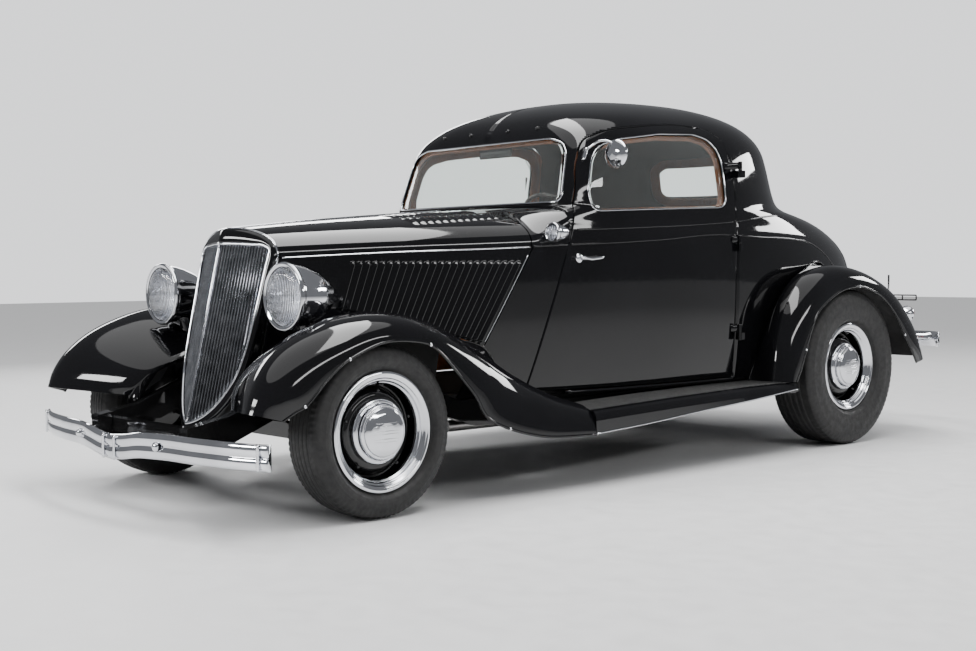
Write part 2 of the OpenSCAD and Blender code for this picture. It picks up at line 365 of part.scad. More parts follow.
// wheels turn about X; profile rows are radius, distance out from the wheel plane
module wheel(w, bore_r) rotate([0, 90, 0]) rotate_extrude() polygon(let(b = w/2, r = rim_d/2) [[bore_r, b - 62], [70, b - 62], [95, b - 40], [r - 26, b - 34], [r - 26, b - 60],
  [r - 34, b - 80], [r - 34, -b + 40], [r - 10, -b + 20], [r - 10, -b - 6], [r + 12, -b - 6], [r + 12, -b - 1], [r - 0.4, -b + 1], [r - 0.4, -b + 22], [r - 22, -b + 42],
  [r - 22, b - 60], [r - 0.4, b - 24], [r - 0.4, b - 0.5], [r + 15, b + 2.5], [r + 19, b + 6], [r + 17, b + 11], [r + 4, b + 15], [r - 10, b + 10], [r - 16, b - 2], [r - 18, b - 20], [124, b - 24],
  [121, b - 14], [119, b + 2], [100, b + 14], [62, b + 24], [30, b + 28], [0, b + 29], [0, b - 40], [bore_r, b - 40]]);
module tyre(d, w, rw) rotate([0, 90, 0]) rotate_extrude($fn = 72) polygon(let(R = d/2, W = w/2, b = rw/2, r = rim_d/2, m = (r + R)/2) [[r, -b + 1.5], [r, b - 1.5], [r + 22, b + 1],
  [r + 32, b + 0.7*(W - b)], [m, W], [R - 36, W - 3], [R - 14, W - 12], [R - 3, W - 28], [R, W - 50], [R, -W + 50], [R - 3, -W + 28], [R - 14, -W + 12], [R - 36, -W + 3], [m, -W],
  [r + 32, -b - 0.7*(W - b)], [r + 22, -b - 1]]);
front_rim_w = 130;
rear_rim_w = 160;
fx = body_w/2 + front_outset;
rx = body_w/2 + rear_outset;
module front_wheel_left() color("#b9bcc2") ctr() translate([fx, 0, front_tyre_d/2]) wheel(front_rim_w, 16.6);
module front_tyre_left() color("#141414") ctr() translate([fx, 0, front_tyre_d/2]) tyre(front_tyre_d, front_tyre_w, front_rim_w);
module rear_wheel_left() color("#b9bcc2") ctr() translate([rx, my(2845), rear_tyre_d/2]) wheel(rear_rim_w, 20.6);
module rear_tyre_left() color("#141414") ctr() translate([rx, my(2845), rear_tyre_d/2]) tyre(rear_tyre_d, rear_tyre_w, rear_rim_w);
// front axle, knuckles and steering
kx = fx - 60;
zf = front_tyre_d/2;
module front_axle() color("#1b1b1d") ctr() {
  box([-330, -26, 232], [330, 26, 290]);
  both() difference() { union() { hull() { box([329, -26, 232], [331, 26, 290]); box([kx - 40, -22, zf - 26], [kx - 36, 22, zf + 26]); }
    box([kx - 40, -22, zf - 26], [kx - 2, 22, zf + 26]); translate([kx, 0, zf - 26]) cylinder(r = 24, h = 52); }
    translate([kx, 0, zf - 60]) cylinder(r = kingpin_d/2 + 0.05, h = 120); }
  box([-40, -30, 289], [40, 30, 352 - seat_gap]);
}
module knuckle_left() color("#26272a") ctr() {
  translate([kx, 0, zf - 44]) cylinder(r = kingpin_d/2, h = 88);
  for (z = [zf - 44, zf + 31]) { translate([kx, 0, z]) cylinder(r = 22, h = 13); translate([kx + 10, -18, z]) cube([20, 36, 13]); }
  translate([kx + 27, -24, zf - 44]) cube([9, 48, 88]);
  translate([kx + 30, 0, zf]) rotate([0, 90, 0]) cylinder(r = 16.5, h = front_rim_w/2 - 42 + 60 - 30);
  translate([kx - 14, 12, zf - 44]) cube([28, 110, 12]);
}
module tie_rod() color("#26272a") ctr() rod([-kx, 108, zf - 50.5], [kx, 108, zf - 50.5], 6);
module rear_axle() color("#1b1b1d") ctr() {
  translate([-rx - rear_rim_w/2 + 42, my(2845), rear_tyre_d/2]) rotate([0, 90, 0]) cylinder(r = 20.5, h = 2*rx + rear_rim_w - 84);
  translate([-rx + 130, my(2845), rear_tyre_d/2]) rotate([0, 90, 0]) cylinder(r = 38, h = 2*rx - 260);
  translate([-90, my(2845), rear_tyre_d/2]) rotate([0, 90, 0]) rotate_extrude() polygon([[0, 0], [70, 0], [115, 40], [125, 90], [115, 140], [70, 180], [0, 180]]);
  both() box([mx(460), my(2845) - 20, rear_tyre_d/2 + 30], [mx(490), my(2845) + 20, 466 - seat_gap]);
}
// cabin furniture
module seat() color("#8a4a22") ctr() {
  translate([0, 0, 354 + seat_gap]) loft([for (x = [-mx(510), -mx(490), mx(490), mx(510)]) let(k = abs(x) > mx(500) ? 18 : 0)
    [[x, my(1560) + k, 20], [x, my(1540) + k, 170], [x, my(1560) + k, seat_h - 390 - k], [x, my(1640), seat_h - 360 - k], [x, my(2060), seat_h - 380 - k], [x, my(2150), seat_h - 400 - k], [x, my(2150), 20]]]);
  loft([for (x = [-mx(510), -mx(490), mx(490), mx(510)]) let(k = abs(x) > mx(500) ? 18 : 0)
    [[x, my(2150) + seat_gap, 354 + 2*seat_gap], [x, my(2150) + seat_gap, seat_h - 44], [x, my(2128) + k, seat_h + 6], [x, my(2158) + k, 900 - k], [x, my(2190), 1000 - k], [x, my(2236), 1000 - k], [x, my(2244), 900], [x, my(2240), 354 + 2*seat_gap]]]);
  box([-mx(480), my(1600), 354 + seat_gap], [mx(480), my(2140), 380]);
}
COL = [[330, 985, 700], [330, 1345, 1020]];
helm_n = M(COL[1]) - M(COL[0]);
module dashboard() color("#6b3a20") ctr() {
  loft([for (x = [-500, -250, 0, 250, 500]) [for (q = [[1150, 905], [1205, 890], [1228, 930], [1228, 1000], [1200, 1052], [1130, 1062]]) M([x, q[0], q[1]])]], true);
  let(h = mz(zc(1085)) - 14.9) { box([-25, my(1085), 1034], [25, my(1108), h]); box([-25, my(1085), 1034], [25, my(1160), 1044]); }
  rod(M(COL[0]) + [0, 14, 12], M(COL[1]) - 30*unit(helm_n), 16);
  translate(M(COL[0]) + [0, seat_gap, 0]) rotate([-90, 0, 0]) cylinder(r = 34, h = 18);
}
module steering_wheel() color("#2b1d14") ctr() translate(M(COL[1])) rotate([-atan2(helm_n[1], helm_n[2]), 0, 0]) {
  rotate_extrude($fn = 64) translate([helm_d/2 - 9, 0]) circle(r = 9, $fn = 16);
  translate([0, 0, -30 + seat_gap]) cylinder(r = 28, h = 40);
  for (a = [90, 210, 330]) rotate(a) translate([0, -7, -4]) cube([helm_d/2 - 12, 14, 8]);
}
function hinge_x(a, b) = mx(max(bx(2122, a), bx(2122, b))) + seat_gap - 0.4 - mx(684);
module hinge_body() color("#101012") ctr() both() {
  translate(M(LIDH) - [20.4, 0, 0]) { rotate([0, 90, 0]) cylinder(r = 6, h = 20); translate([0, -34, -3.1]) cube([20, 36, 2.1]); }
  for (z = [560, 960, 1290]) translate([mx(684), my(2122), z]) {
  translate([0, 0, -36]) cylinder(r = 9, h = 36 - seat_gap/2);
  let(x = hinge_x(z - 34, z - 3) - 0.9) translate([x, 4, -34]) cube([-x, 34, 31]);
  }
}
module door_fittings_left() fittings(true);
module fittings(mirror_too) color("#c9ccd1") ctr() {
  for (z = [560, 960, 1290]) translate([mx(684), my(2122), z]) { translate([0, 0, seat_gap/2]) cylinder(r = 9, h = 36); let(x = hinge_x(z + 3, z + 34)) translate([x, -40, 3]) cube([-x, 36, 31]); }
  let(x = mx(bw(1166)) - 0.7 + seat_gap) { translate([x, my(1166), 893]) rotate([0, 90, 0]) cylinder(r = 14, h = 40);
    translate([x + 24, my(1150), 884]) cube([14, 120, 18]); }
  if (mirror_too) { rod(M([555.2, 1246, 1312]) + [seat_gap, 0, 0], M([676, 1286, 1322]), 6);
  translate(M([674, 1286, 1322])) rotate([-90, 0, 0]) rotate_extrude() polygon([[0, -14], [40, -10], [58, 0], [60, 6], [0, 6]]); }
}
module exhaust() color("#7a7d80") ctr() let(z = 245 - 24 - seat_gap) { rod([mx(300), my(700), z], [mx(300), my(2400), z], 24); rod([mx(300), my(2400), z], [mx(300), my(3700), z], 22); }
module fuel_tank() color("#2a2c2e") ctr() box([-mx(300), my(3020), 430], [mx(300), my(3380), 560 - seat_gap]);
module front_wheel_right() mirror([1, 0, 0]) front_wheel_left();
module front_tyre_right() mirror([1, 0, 0]) front_tyre_left();
module rear_wheel_right() mirror([1, 0, 0]) rear_wheel_left();
module rear_tyre_right() mirror([1, 0, 0]) rear_tyre_left();
module knuckle_right() mirror([1, 0, 0]) knuckle_left();
module door_right() mirror([1, 0, 0]) door_left();
module door_glass_right() mirror([1, 0, 0]) door_glass_left();
module door_fittings_right() mirror([1, 0, 0]) fittings(false);
module hood_top_right() mirror([1, 0, 0]) hood_top_left();
module hood_side_right() mirror([1, 0, 0]) hood_side_left();
module front_fender_right() mirror([1, 0, 0]) front_fender_left();
module rear_fender_right() mirror([1, 0, 0]) rear_fender_left();
module running_board_right() mirror([1, 0, 0]) running_board_left();
frame();
floor_pan();
body_shell();
cowl();
deck_lid();
windshield();
rear_window();
door_left();
door_right();
door_glass_left();
door_glass_right();
door_fittings_left();
door_fittings_right();
hinge_body();
hood_hinge();
hood_top_left();
hood_top_right();
hood_side_left();
hood_side_right();
grille_shell();
grille_bars();
radiator();
engine();
front_fender_left();
front_fender_right();
rear_fender_left();
rear_fender_right();
running_board_left();
running_board_right();
front_bumper();
rear_bumper();
headlights();
headlight_lenses();
headlight_stands();
cowl_lamps();
tail_lamps();
plate_bracket();
front_axle();
knuckle_left();
knuckle_right();
tie_rod();
rear_axle();
front_wheel_left();
front_wheel_right();
front_tyre_left();
front_tyre_right();
rear_wheel_left();
rear_wheel_right();
rear_tyre_left();
rear_tyre_right();
seat();
dashboard();
steering_wheel();
exhaust();
fuel_tank();
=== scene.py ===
"""Looks of the fendered three-window coupe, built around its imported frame.

Shapes are worked out in millimetres on the car's own stations: x to the car's left, y rearward of
the front axle, z up from the ground. place() turns them into the row frame in metres.
"""

import math

import bmesh
import bpy
import numpy as np
from mathutils import Matrix, Vector


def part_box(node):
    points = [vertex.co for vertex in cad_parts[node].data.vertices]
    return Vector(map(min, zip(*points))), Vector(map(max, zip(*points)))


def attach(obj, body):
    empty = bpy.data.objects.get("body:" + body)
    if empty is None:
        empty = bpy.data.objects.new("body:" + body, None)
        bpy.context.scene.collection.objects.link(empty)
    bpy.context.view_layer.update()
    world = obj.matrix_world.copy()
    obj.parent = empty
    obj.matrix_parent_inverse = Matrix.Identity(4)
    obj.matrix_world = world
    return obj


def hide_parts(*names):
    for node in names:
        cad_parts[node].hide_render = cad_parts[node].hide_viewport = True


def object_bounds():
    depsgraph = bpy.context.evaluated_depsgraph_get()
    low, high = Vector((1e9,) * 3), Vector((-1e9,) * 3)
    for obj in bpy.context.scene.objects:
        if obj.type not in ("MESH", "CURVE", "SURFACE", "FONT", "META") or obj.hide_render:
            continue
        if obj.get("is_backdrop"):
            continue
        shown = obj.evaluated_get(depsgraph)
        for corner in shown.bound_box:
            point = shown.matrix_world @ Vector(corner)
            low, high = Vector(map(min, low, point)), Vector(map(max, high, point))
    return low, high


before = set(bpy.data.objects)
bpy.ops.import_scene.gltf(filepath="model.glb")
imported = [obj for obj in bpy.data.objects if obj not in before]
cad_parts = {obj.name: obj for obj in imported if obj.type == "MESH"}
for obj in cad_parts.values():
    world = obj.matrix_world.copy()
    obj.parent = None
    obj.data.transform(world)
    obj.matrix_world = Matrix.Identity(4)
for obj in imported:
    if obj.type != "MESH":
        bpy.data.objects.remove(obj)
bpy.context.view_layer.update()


def centre_of(node):
    """Middle of a CAD node's box, in millimetres of the row frame."""
    low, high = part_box(node)
    return 500 * (np.array(low) + np.array(high))


def span_of(node):
    """Lengths of a CAD node's box, in millimetres."""
    low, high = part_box(node)
    return 1000 * (np.array(high) - np.array(low))


FRONT_WHEEL, REAR_WHEEL = centre_of("front_tyre_left"), centre_of("rear_tyre_left")
AXLE_Y = FRONT_WHEEL[1]
WHEELBASE = REAR_WHEEL[1] - AXLE_Y
FRONT_TYRE_D, REAR_TYRE_D = span_of("front_tyre_left")[2], span_of("rear_tyre_left")[2]
FRONT_TYRE_W, REAR_TYRE_W = span_of("front_tyre_left")[0], span_of("rear_tyre_left")[0]
RIM_D = 381.0
GAP = 5.0


# ---------------------------------------------------------------- tools for shapes
def place(points):
    """Car stations in millimetres to the row frame in metres."""
    return (np.asarray(points, float) + [0, AXLE_Y, 0]) / 1000


def curve(rows, x):
    """Cubic Hermite curve through rows [station, a, b, ...]; the slope at a row is the mean of its
    two chords, each weighted with the other's length."""
    T, x = np.asarray(rows, float), np.asarray(x, float)
    s, h = T[:, 0], np.diff(T[:, 0])
    chord = np.diff(T, axis=0) / h[:, None]
    m = np.empty_like(T)
    m[0], m[-1] = chord[0], chord[-1]
    m[1:-1] = (chord[1:] * h[:-1, None] + chord[:-1] * h[1:, None]) / (h[1:] + h[:-1])[:, None]
    i = np.clip(np.searchsorted(s, x, side="right") - 1, 0, len(s) - 2)
    t = ((x - s[i]) / h[i])[..., None]
    g, q, c = h[i][..., None], t * t, t * t * t
    return ((2 * c - 3 * q + 1) * T[i] + (c - 2 * q + t) * g * m[i]
            + (3 * q - 2 * c) * T[i + 1] + (c - q) * g * m[i + 1])[..., 1:]


def by_length(points, n, closed=False):
    """n points evenly spaced along the chords of a smooth curve through the given points."""
    P = np.asarray(points, float)
    if closed:
        P = np.concatenate([P[-2:], P, P[:3]])
    s = np.concatenate([[0], np.cumsum(np.linalg.norm(np.diff(P, axis=0), axis=1))])
    lo, hi = (s[2], s[-3]) if closed else (s[0], s[-1])
    fine = curve(np.c_[s, P], np.linspace(lo, hi, 12 * n))
    d = np.concatenate([[0], np.cumsum(np.linalg.norm(np.diff(fine, axis=0), axis=1))])
    at = np.linspace(0, d[-1], n + 1)[:-1] if closed else np.linspace(0, d[-1], n)
    return np.stack([np.interp(at, d, fine[:, k]) for k in range(P.shape[1])], 1)


def outline(points, n, corners=()):
    """Closed outline of n points: smooth between the named corners, which stay sharp."""
    P = np.asarray(points, float)
    if not corners:
        return by_length(P, n, True)
    P = np.roll(P, -corners[0], axis=0)
    marks = [c - corners[0] for c in corners] + [len(P)]
    P = np.concatenate([P, P[:1]])
    runs = [P[a:b + 1] for a, b in zip(marks[:-1], marks[1:])]
    lengths = [np.linalg.norm(np.diff(r, axis=0), axis=1).sum() for r in runs]
    counts = [max(2, round(n * w / sum(lengths))) for w in lengths]
    return np.concatenate([by_length(r, c + 1)[:-1] for r, c in zip(runs, counts)])


def softened(points, n, reach=34.0):
    """Closed outline of n points: the straight-sided polygon averaged along its length with a
    raised-cosine window, so sides stay straight and corners turn smoothly."""
    P = np.asarray(points, float)
    P = np.concatenate([P, P[:1]])
    s = np.concatenate([[0], np.cumsum(np.linalg.norm(np.diff(P, axis=0), axis=1))])
    at = np.linspace(0, s[-1], 12 * n, endpoint=False)
    Q = np.stack([np.interp(at, s, P[:, k]) for k in (0, 1)], 1)
    half = int(reach / s[-1] * len(at))
    window = 1 + np.cos(np.pi * np.arange(-half, half + 1) / (half + 1))
    around = np.concatenate([Q[-half:], Q, Q[:half]])
    spread = np.stack([np.convolve(around[:, k], window / window.sum(), "valid") for k in (0, 1)], 1)
    return spread[::12]


def grid_faces(m, n, around_u=False, around_v=False):
    """Quads of an m by n grid of vertices, row by row, closed on themselves where asked."""
    i = np.arange(m if around_u else m - 1)[:, None]
    j = np.arange(n if around_v else n - 1)[None, :]
    a, b = i * n + j, i * n + (j + 1) % n
    c, d = ((i + 1) % m) * n + (j + 1) % n, ((i + 1) % m) * n + j
    return np.stack([a, b, c, d], -1).reshape(-1, 4)


def grid_normals(P, around_u=False, around_v=False):
    """Unit normals of a grid of points: cross product of its central differences."""
    def slope(A, axis, around):
        """Central difference, across the seam where the grid closes."""
        if around:
            return np.roll(A, -1, axis) - np.roll(A, 1, axis)
        return np.gradient(A, axis=axis)
    N = np.cross(slope(P, 0, around_u), slope(P, 1, around_v))
    return N / np.maximum(np.linalg.norm(N, axis=-1, keepdims=True), 1e-9)


def thicken(V, F, N, depth):
    """A sheet V, F becomes a wall: a second sheet depth behind it, and a rim on every free edge with
    corners of its own, so that the edge shades crisply. Returns vertices, faces, and each face's
    finish: 0 outside and on the rim, 1 inside."""
    n = len(V)
    edges = np.concatenate([F[:, [0, 1]], F[:, [1, 2]], F[:, [2, 3]], F[:, [3, 0]]])
    edges = edges[edges[:, 0] != edges[:, 1]]
    free = edges[~np.isin(edges[:, 0] * n + edges[:, 1], edges[:, 1] * n + edges[:, 0])]
    back = V - N * depth
    ids, place_in = np.unique(free, return_inverse=True)
    place_in = place_in.reshape(free.shape)
    k = len(ids)
    a, b = 2 * n + place_in[:, 0], 2 * n + place_in[:, 1]
    rim = np.stack([b, a, a + k, b + k], 1)
    faces = np.concatenate([F, rim, F[:, ::-1] + n])
    lining = np.repeat([0, 0, 1], [len(F), len(rim), len(F)])
    return np.concatenate([V, back, V[ids], back[ids]]), faces, lining


def mirrored(V, F, N=None):
    """The same sheet with its copy across the middle plane."""
    s = np.array([-1, 1, 1])
    faces = np.concatenate([F, F[:, ::-1] + len(V)])
    return (np.concatenate([V, V * s]), faces) + (() if N is None else (np.concatenate([N, N * s]),))


def make(name, V, F, materials, body, nodes=(), slot=None, part=None, merge=0.0, flip=False, smooth=True):
    """Mesh object from vertices in stations and quads. Coinciding corners are merged if merge is
    set. It rides on body, and stands for the CAD nodes named."""
    mesh = bpy.data.meshes.new(name)
    V, F = place(V), np.asarray(F)
    if flip:
        F = F[:, ::-1]
    mesh.from_pydata(V.tolist(), [], [list(dict.fromkeys(f)) for f in F.tolist()])
    materials = materials if isinstance(materials, (list, tuple)) else [materials]
    for m in materials:
        mesh.materials.append(m)
    if part is not None:
        mesh.polygons.foreach_set("material_index", np.asarray(part, np.int32))
    if merge:
        bm = bmesh.new()
        bm.from_mesh(mesh)
        bmesh.ops.remove_doubles(bm, verts=bm.verts, dist=merge / 1000)
        bm.to_mesh(mesh)
        bm.free()
    mesh.polygons.foreach_set("use_smooth", np.full(len(mesh.polygons), smooth))
    mesh.update()
    thing = bpy.data.objects.new(name, mesh)
    bpy.context.scene.collection.objects.link(thing)
    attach(thing, body)
    if nodes:
        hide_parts(*([nodes] if isinstance(nodes, str) else nodes))
    return thing


def wall(name, P, depth, outer, inner, body, **more):
    """Grid sheet P with its wall; outer finishes the outside and rim, inner the inside. The outside
    looks away from a given place."""
    m, n = P.shape[:2]
    F, N = grid_faces(m, n), grid_normals(P).reshape(-1, 3)
    away = more.pop("away", None)
    if away is not None and (N * (P.reshape(-1, 3) - away)).sum() < 0:
        F, N = F[:, ::-1], -N
    V, F, lining = thicken(P.reshape(-1, 3), F, N, depth)
    return make(name, V, F, [outer, inner], body, part=lining, **more)


def both_sides(name, P, depth, outer, inner, bodies, nodes=("", ""), **more):
    """wall() on the left, and its mirror image on the right."""
    away = np.array(more.pop("away"), float)
    for side, s, body, node in zip(("left", "right"), (1, -1), bodies, nodes):
        wall(f"{name}_{side}", P * [s, 1, 1], depth, outer, inner, body, nodes=node or (), away=away * [s, 1, 1], **more)


def tube(path, profile, normal, closed=False):
    """Profile (across, out) carried along a path: out runs along the given normal and across at
    right angles to it and the path. Returns a grid, path by profile."""
    path, normal = np.asarray(path, float), np.asarray(normal, float)
    along = np.roll(path, -1, 0) - np.roll(path, 1, 0) if closed else np.gradient(path, axis=0)
    along /= np.maximum(np.linalg.norm(along, axis=1, keepdims=True), 1e-9)
    across = np.cross(along, np.broadcast_to(normal, path.shape))
    across /= np.maximum(np.linalg.norm(across, axis=1, keepdims=True), 1e-9)
    out = np.cross(across, along)
    q = np.asarray(profile, float)
    return path[:, None] + q[None, :, :1] * across[:, None] + q[None, :, 1:] * out[:, None]


def circle(r, n=12, rx=None):
    """Closed round or oval profile of n points."""
    t = np.linspace(0, 2 * np.pi, n, endpoint=False)
    return np.stack([(rx or r) * np.cos(t), r * np.sin(t)], 1)


def lofted(G, closed=False):
    """Vertices and quads of a grid of closed sections. Unless the grid closes on itself, each end
    is a flat fan from the middle of its section."""
    m, n = G.shape[:2]
    V, F = G.reshape(-1, 3), grid_faces(m, n, closed, True)
    if not closed:
        ends = np.stack([G[0].mean(0), G[-1].mean(0)])
        j = np.arange(n)
        first = np.stack([j, np.full(n, m * n), np.full(n, m * n), (j + 1) % n], 1)
        last = np.stack([(m - 1) * n + (j + 1) % n, np.full(n, m * n + 1), np.full(n, m * n + 1), (m - 1) * n + j], 1)
        V, F = np.concatenate([V, ends]), np.concatenate([F, first, last])
    return V, F


def swept(path, profile, normal, closed=False):
    """Vertices and quads of a closed profile carried along a path, with flat ends."""
    return lofted(tube(path, profile, normal, closed), closed)


def join(*pieces):
    """Several (vertices, quads) as one."""
    V, F, n = [], [], 0
    for v, f in pieces:
        V.append(np.asarray(v, float))
        F.append(np.asarray(f) + n)
        n += len(v)
    return np.concatenate(V), np.concatenate(F)


def turned_about_x(profile, centre, n, side=1):
    """Surface of revolution about a line along X: profile rows are (radius, distance out)."""
    t = np.linspace(0, 2 * np.pi, n, endpoint=False)
    r, h = np.asarray(profile, float).T
    G = np.stack([np.broadcast_to(side * h, (n, len(h))), np.cos(t)[:, None] * r, np.sin(t)[:, None] * r], -1)
    F = grid_faces(n, len(r), True, False)
    return (G + centre).reshape(-1, 3), F if side > 0 else F[:, ::-1]


def turned_about_y(profile, centre, n):
    """Surface of revolution about a line along Y: profile rows are (radius, distance rearward)."""
    t = np.linspace(0, 2 * np.pi, n, endpoint=False)
    r, h = np.asarray(profile, float).T
    G = np.stack([np.cos(t)[:, None] * r, np.broadcast_to(h, (n, len(h))), np.sin(t)[:, None] * r], -1)
    return (G + centre).reshape(-1, 3), grid_faces(n, len(r), True, False)


def rounded(points, radius, n=5):
    """Open profile with each inner corner replaced by a quadratic arc of about that radius."""
    P = np.asarray(points, float)
    out = [P[0]]
    t = np.linspace(0, 1, n)[:, None]
    for a, b, c in zip(P[:-2], P[1:-1], P[2:]):
        u, v = a - b, c - b
        lu, lv = np.linalg.norm(u), np.linalg.norm(v)
        p, q = b + u / lu * min(radius, lu * 0.45), b + v / lv * min(radius, lv * 0.45)
        out.extend((1 - t) ** 2 * p + 2 * t * (1 - t) * b + t ** 2 * q)
    return np.array([*out, P[-1]])


def smooth_step(t):
    """0 below 0, 1 above 1, and 3t^2 - 2t^3 between."""
    t = np.clip(t, 0, 1)
    return t * t * (3 - 2 * t)


# ---------------------------------------------------------------- finishes
def material(name, **values):
    """A Principled finish with uniform values on the shader's own sockets."""
    mat = bpy.data.materials.new(name)
    mat.use_nodes = True
    shader = mat.node_tree.nodes["Principled BSDF"]
    for key, value in values.items():
        shader.inputs[key.replace("_", " ")].default_value = value
    return mat


def add(mat, kind, **values):
    """One node with its properties and unlinked sockets set."""
    node = mat.node_tree.nodes.new(kind)
    for key, value in values.items():
        if key in node.inputs:
            node.inputs[key].default_value = value
        else:
            setattr(node, key, value)
    return node


def link(mat, a, b):
    """Joins an output to an input of a finish."""
    mat.node_tree.links.new(a, b)


def where(mat, stretch=(1, 1, 1)):
    """Object coordinates through a Mapping node that stretches the pattern."""
    mapping = add(mat, "ShaderNodeMapping")
    mapping.inputs["Scale"].default_value = stretch
    link(mat, add(mat, "ShaderNodeTexCoord").outputs["Object"], mapping.inputs["Vector"])
    return mapping.outputs["Vector"]


def noise(mat, scale, detail=4.0, stretch=(1, 1, 1)):
    """Output of a noise pattern of that many cells per metre."""
    node = add(mat, "ShaderNodeTexNoise", Scale=scale, Detail=detail)
    link(mat, where(mat, stretch), node.inputs["Vector"])
    return node.outputs["Fac"]


def vary(mat, socket, pattern, low, high, start=0.3, end=0.7):
    """Drives a number or colour socket from low to high as the pattern goes from start to end."""
    shader = mat.node_tree.nodes["Principled BSDF"]
    if isinstance(low, tuple):
        ramp = add(mat, "ShaderNodeValToRGB")
        for stop, (at, colour) in zip(ramp.color_ramp.elements, ((start, low), (end, high))):
            stop.position, stop.color = at, (*colour, 1)
        link(mat, pattern, ramp.inputs["Fac"])
        link(mat, ramp.outputs["Color"], shader.inputs[socket])
    else:
        ramp = add(mat, "ShaderNodeMapRange")
        for key, value in zip(("From Min", "From Max", "To Min", "To Max"), (start, end, low, high)):
            ramp.inputs[key].default_value = value
        link(mat, pattern, ramp.inputs["Value"])
        link(mat, ramp.outputs["Result"], shader.inputs[socket])


def bump(mat, pattern, depth, strength=0.5):
    """Bump of that depth in metres from a pattern; a second call is stacked on the first."""
    shader = mat.node_tree.nodes["Principled BSDF"]
    node = add(mat, "ShaderNodeBump", Strength=strength, Distance=depth)
    link(mat, pattern, node.inputs["Height"])
    if shader.inputs["Normal"].links:
        link(mat, shader.inputs["Normal"].links[0].from_socket, node.inputs["Normal"])
    link(mat, node.outputs["Normal"], shader.inputs["Normal"])


def gloss_paint(name, colour, lighter):
    """Deep lacquer: faint cloudiness in the colour, orange peel and light dust in the gloss."""
    mat = material(name, Base_Color=(*colour, 1), Roughness=0.04, IOR=1.46)
    vary(mat, "Base Color", noise(mat, 2.5, 3.0), colour, lighter)
    vary(mat, "Roughness", noise(mat, 38.0, 5.0), 0.025, 0.07)
    bump(mat, noise(mat, 420.0, 2.0), 0.00002, 0.12)
    return mat


def metal(name, colour, rough, spread=0.05, grain=260.0, brushed=(1, 1, 1)):
    """Plated or bare metal: roughness drifts between clean and handled places."""
    mat = material(name, Base_Color=(*colour, 1), Metallic=1.0, Roughness=rough)
    dull = tuple(0.86 * c for c in colour)
    vary(mat, "Base Color", noise(mat, 9.0, 5.0), dull, colour, 0.25, 0.6)
    vary(mat, "Roughness", noise(mat, 24.0, 6.0), rough, rough + spread)
    bump(mat, noise(mat, grain, 3.0, brushed), 0.00003, 0.15)
    return mat


def matt(name, colour, lighter, rough, grain, depth, cells=0.0):
    """Rubber, cloth, cast or satin finishes: mottled colour and a fine grain in the surface."""
    mat = material(name, Base_Color=(*colour, 1), Roughness=rough, IOR=1.5)
    vary(mat, "Base Color", noise(mat, grain / 14, 5.0), colour, lighter)
    vary(mat, "Roughness", noise(mat, grain / 5, 4.0), rough - 0.1, min(1.0, rough + 0.12))
    bump(mat, noise(mat, grain, 4.0), depth, 0.35)
    if cells:
        pattern = add(mat, "ShaderNodeTexVoronoi", feature="DISTANCE_TO_EDGE", Scale=cells)
        link(mat, where(mat), pattern.inputs["Vector"])
        bump(mat, pattern.outputs["Distance"], depth * 2, 0.5)
    return mat


def clear_glass(name, tint, rough=0.0, transmission=1.0):
    """Clear glass with a faint film of dust in its gloss."""
    mat = material(name, Base_Color=(*tint, 1), Roughness=rough, IOR=1.45, Transmission_Weight=transmission)
    vary(mat, "Roughness", noise(mat, 14.0, 6.0), rough, rough + 0.03, 0.45, 0.8)
    return mat


BLACK_PAINT = gloss_paint("black_lacquer", (0.0025, 0.0025, 0.003), (0.0045, 0.0045, 0.0055))
UNDER_PAINT = matt("underbody_black", (0.006, 0.006, 0.007), (0.014, 0.013, 0.012), 0.5, 140, 0.0002)
CHASSIS_PAINT = gloss_paint("chassis_enamel", (0.006, 0.006, 0.0065), (0.011, 0.011, 0.011))
CHROME = metal("chrome_plate", (0.74, 0.75, 0.78), 0.035, 0.05)
BAR_METAL = metal("grille_bar_metal", (0.34, 0.35, 0.37), 0.14, 0.12, 500, (1, 1, 0.1))
RUBBER = matt("tyre_rubber", (0.005, 0.005, 0.0055), (0.011, 0.0105, 0.010), 0.6, 260, 0.0003, 700)
BOARD_RUBBER = matt("board_rubber", (0.012, 0.012, 0.012), (0.022, 0.022, 0.021), 0.55, 240, 0.0003)
LEATHER = matt("cognac_leather", (0.26, 0.085, 0.028), (0.36, 0.13, 0.045), 0.42, 320, 0.0004, 420)
TRIM_BROWN = matt("brown_trim", (0.17, 0.055, 0.02), (0.25, 0.085, 0.03), 0.36, 300, 0.0003, 500)
HEADLINER = matt("headliner_cloth", (0.035, 0.026, 0.02), (0.055, 0.042, 0.033), 0.92, 700, 0.0005)
CARPET = matt("floor_carpet", (0.03, 0.022, 0.017), (0.06, 0.045, 0.034), 0.95, 900, 0.0015)
HELM_RIM = matt("helm_rim", (0.018, 0.012, 0.01), (0.035, 0.022, 0.018), 0.3, 200, 0.0002)
ENGINE_IRON = matt("engine_iron", (0.03, 0.03, 0.032), (0.06, 0.058, 0.056), 0.6, 120, 0.0006)
CORE_METAL = matt("radiator_core_black", (0.01, 0.01, 0.011), (0.03, 0.03, 0.03), 0.55, 500, 0.0008)
STEEL = metal("exhaust_steel", (0.42, 0.41, 0.4), 0.3, 0.2, 180)
GLASS = clear_glass("window_glass", (0.93, 0.97, 0.95))
LENS = clear_glass("headlamp_glass", (0.97, 0.98, 1.0), 0.01)
RED_LENS = clear_glass("tail_lens", (0.7, 0.01, 0.01), 0.03, 0.75)
flutes = add(LENS, "ShaderNodeTexWave", wave_type="BANDS", bands_direction="X", Scale=34.0, Distortion=0.4)
link(LENS, where(LENS), flutes.inputs["Vector"])
bump(LENS, flutes.outputs["Fac"], 0.002, 0.6)
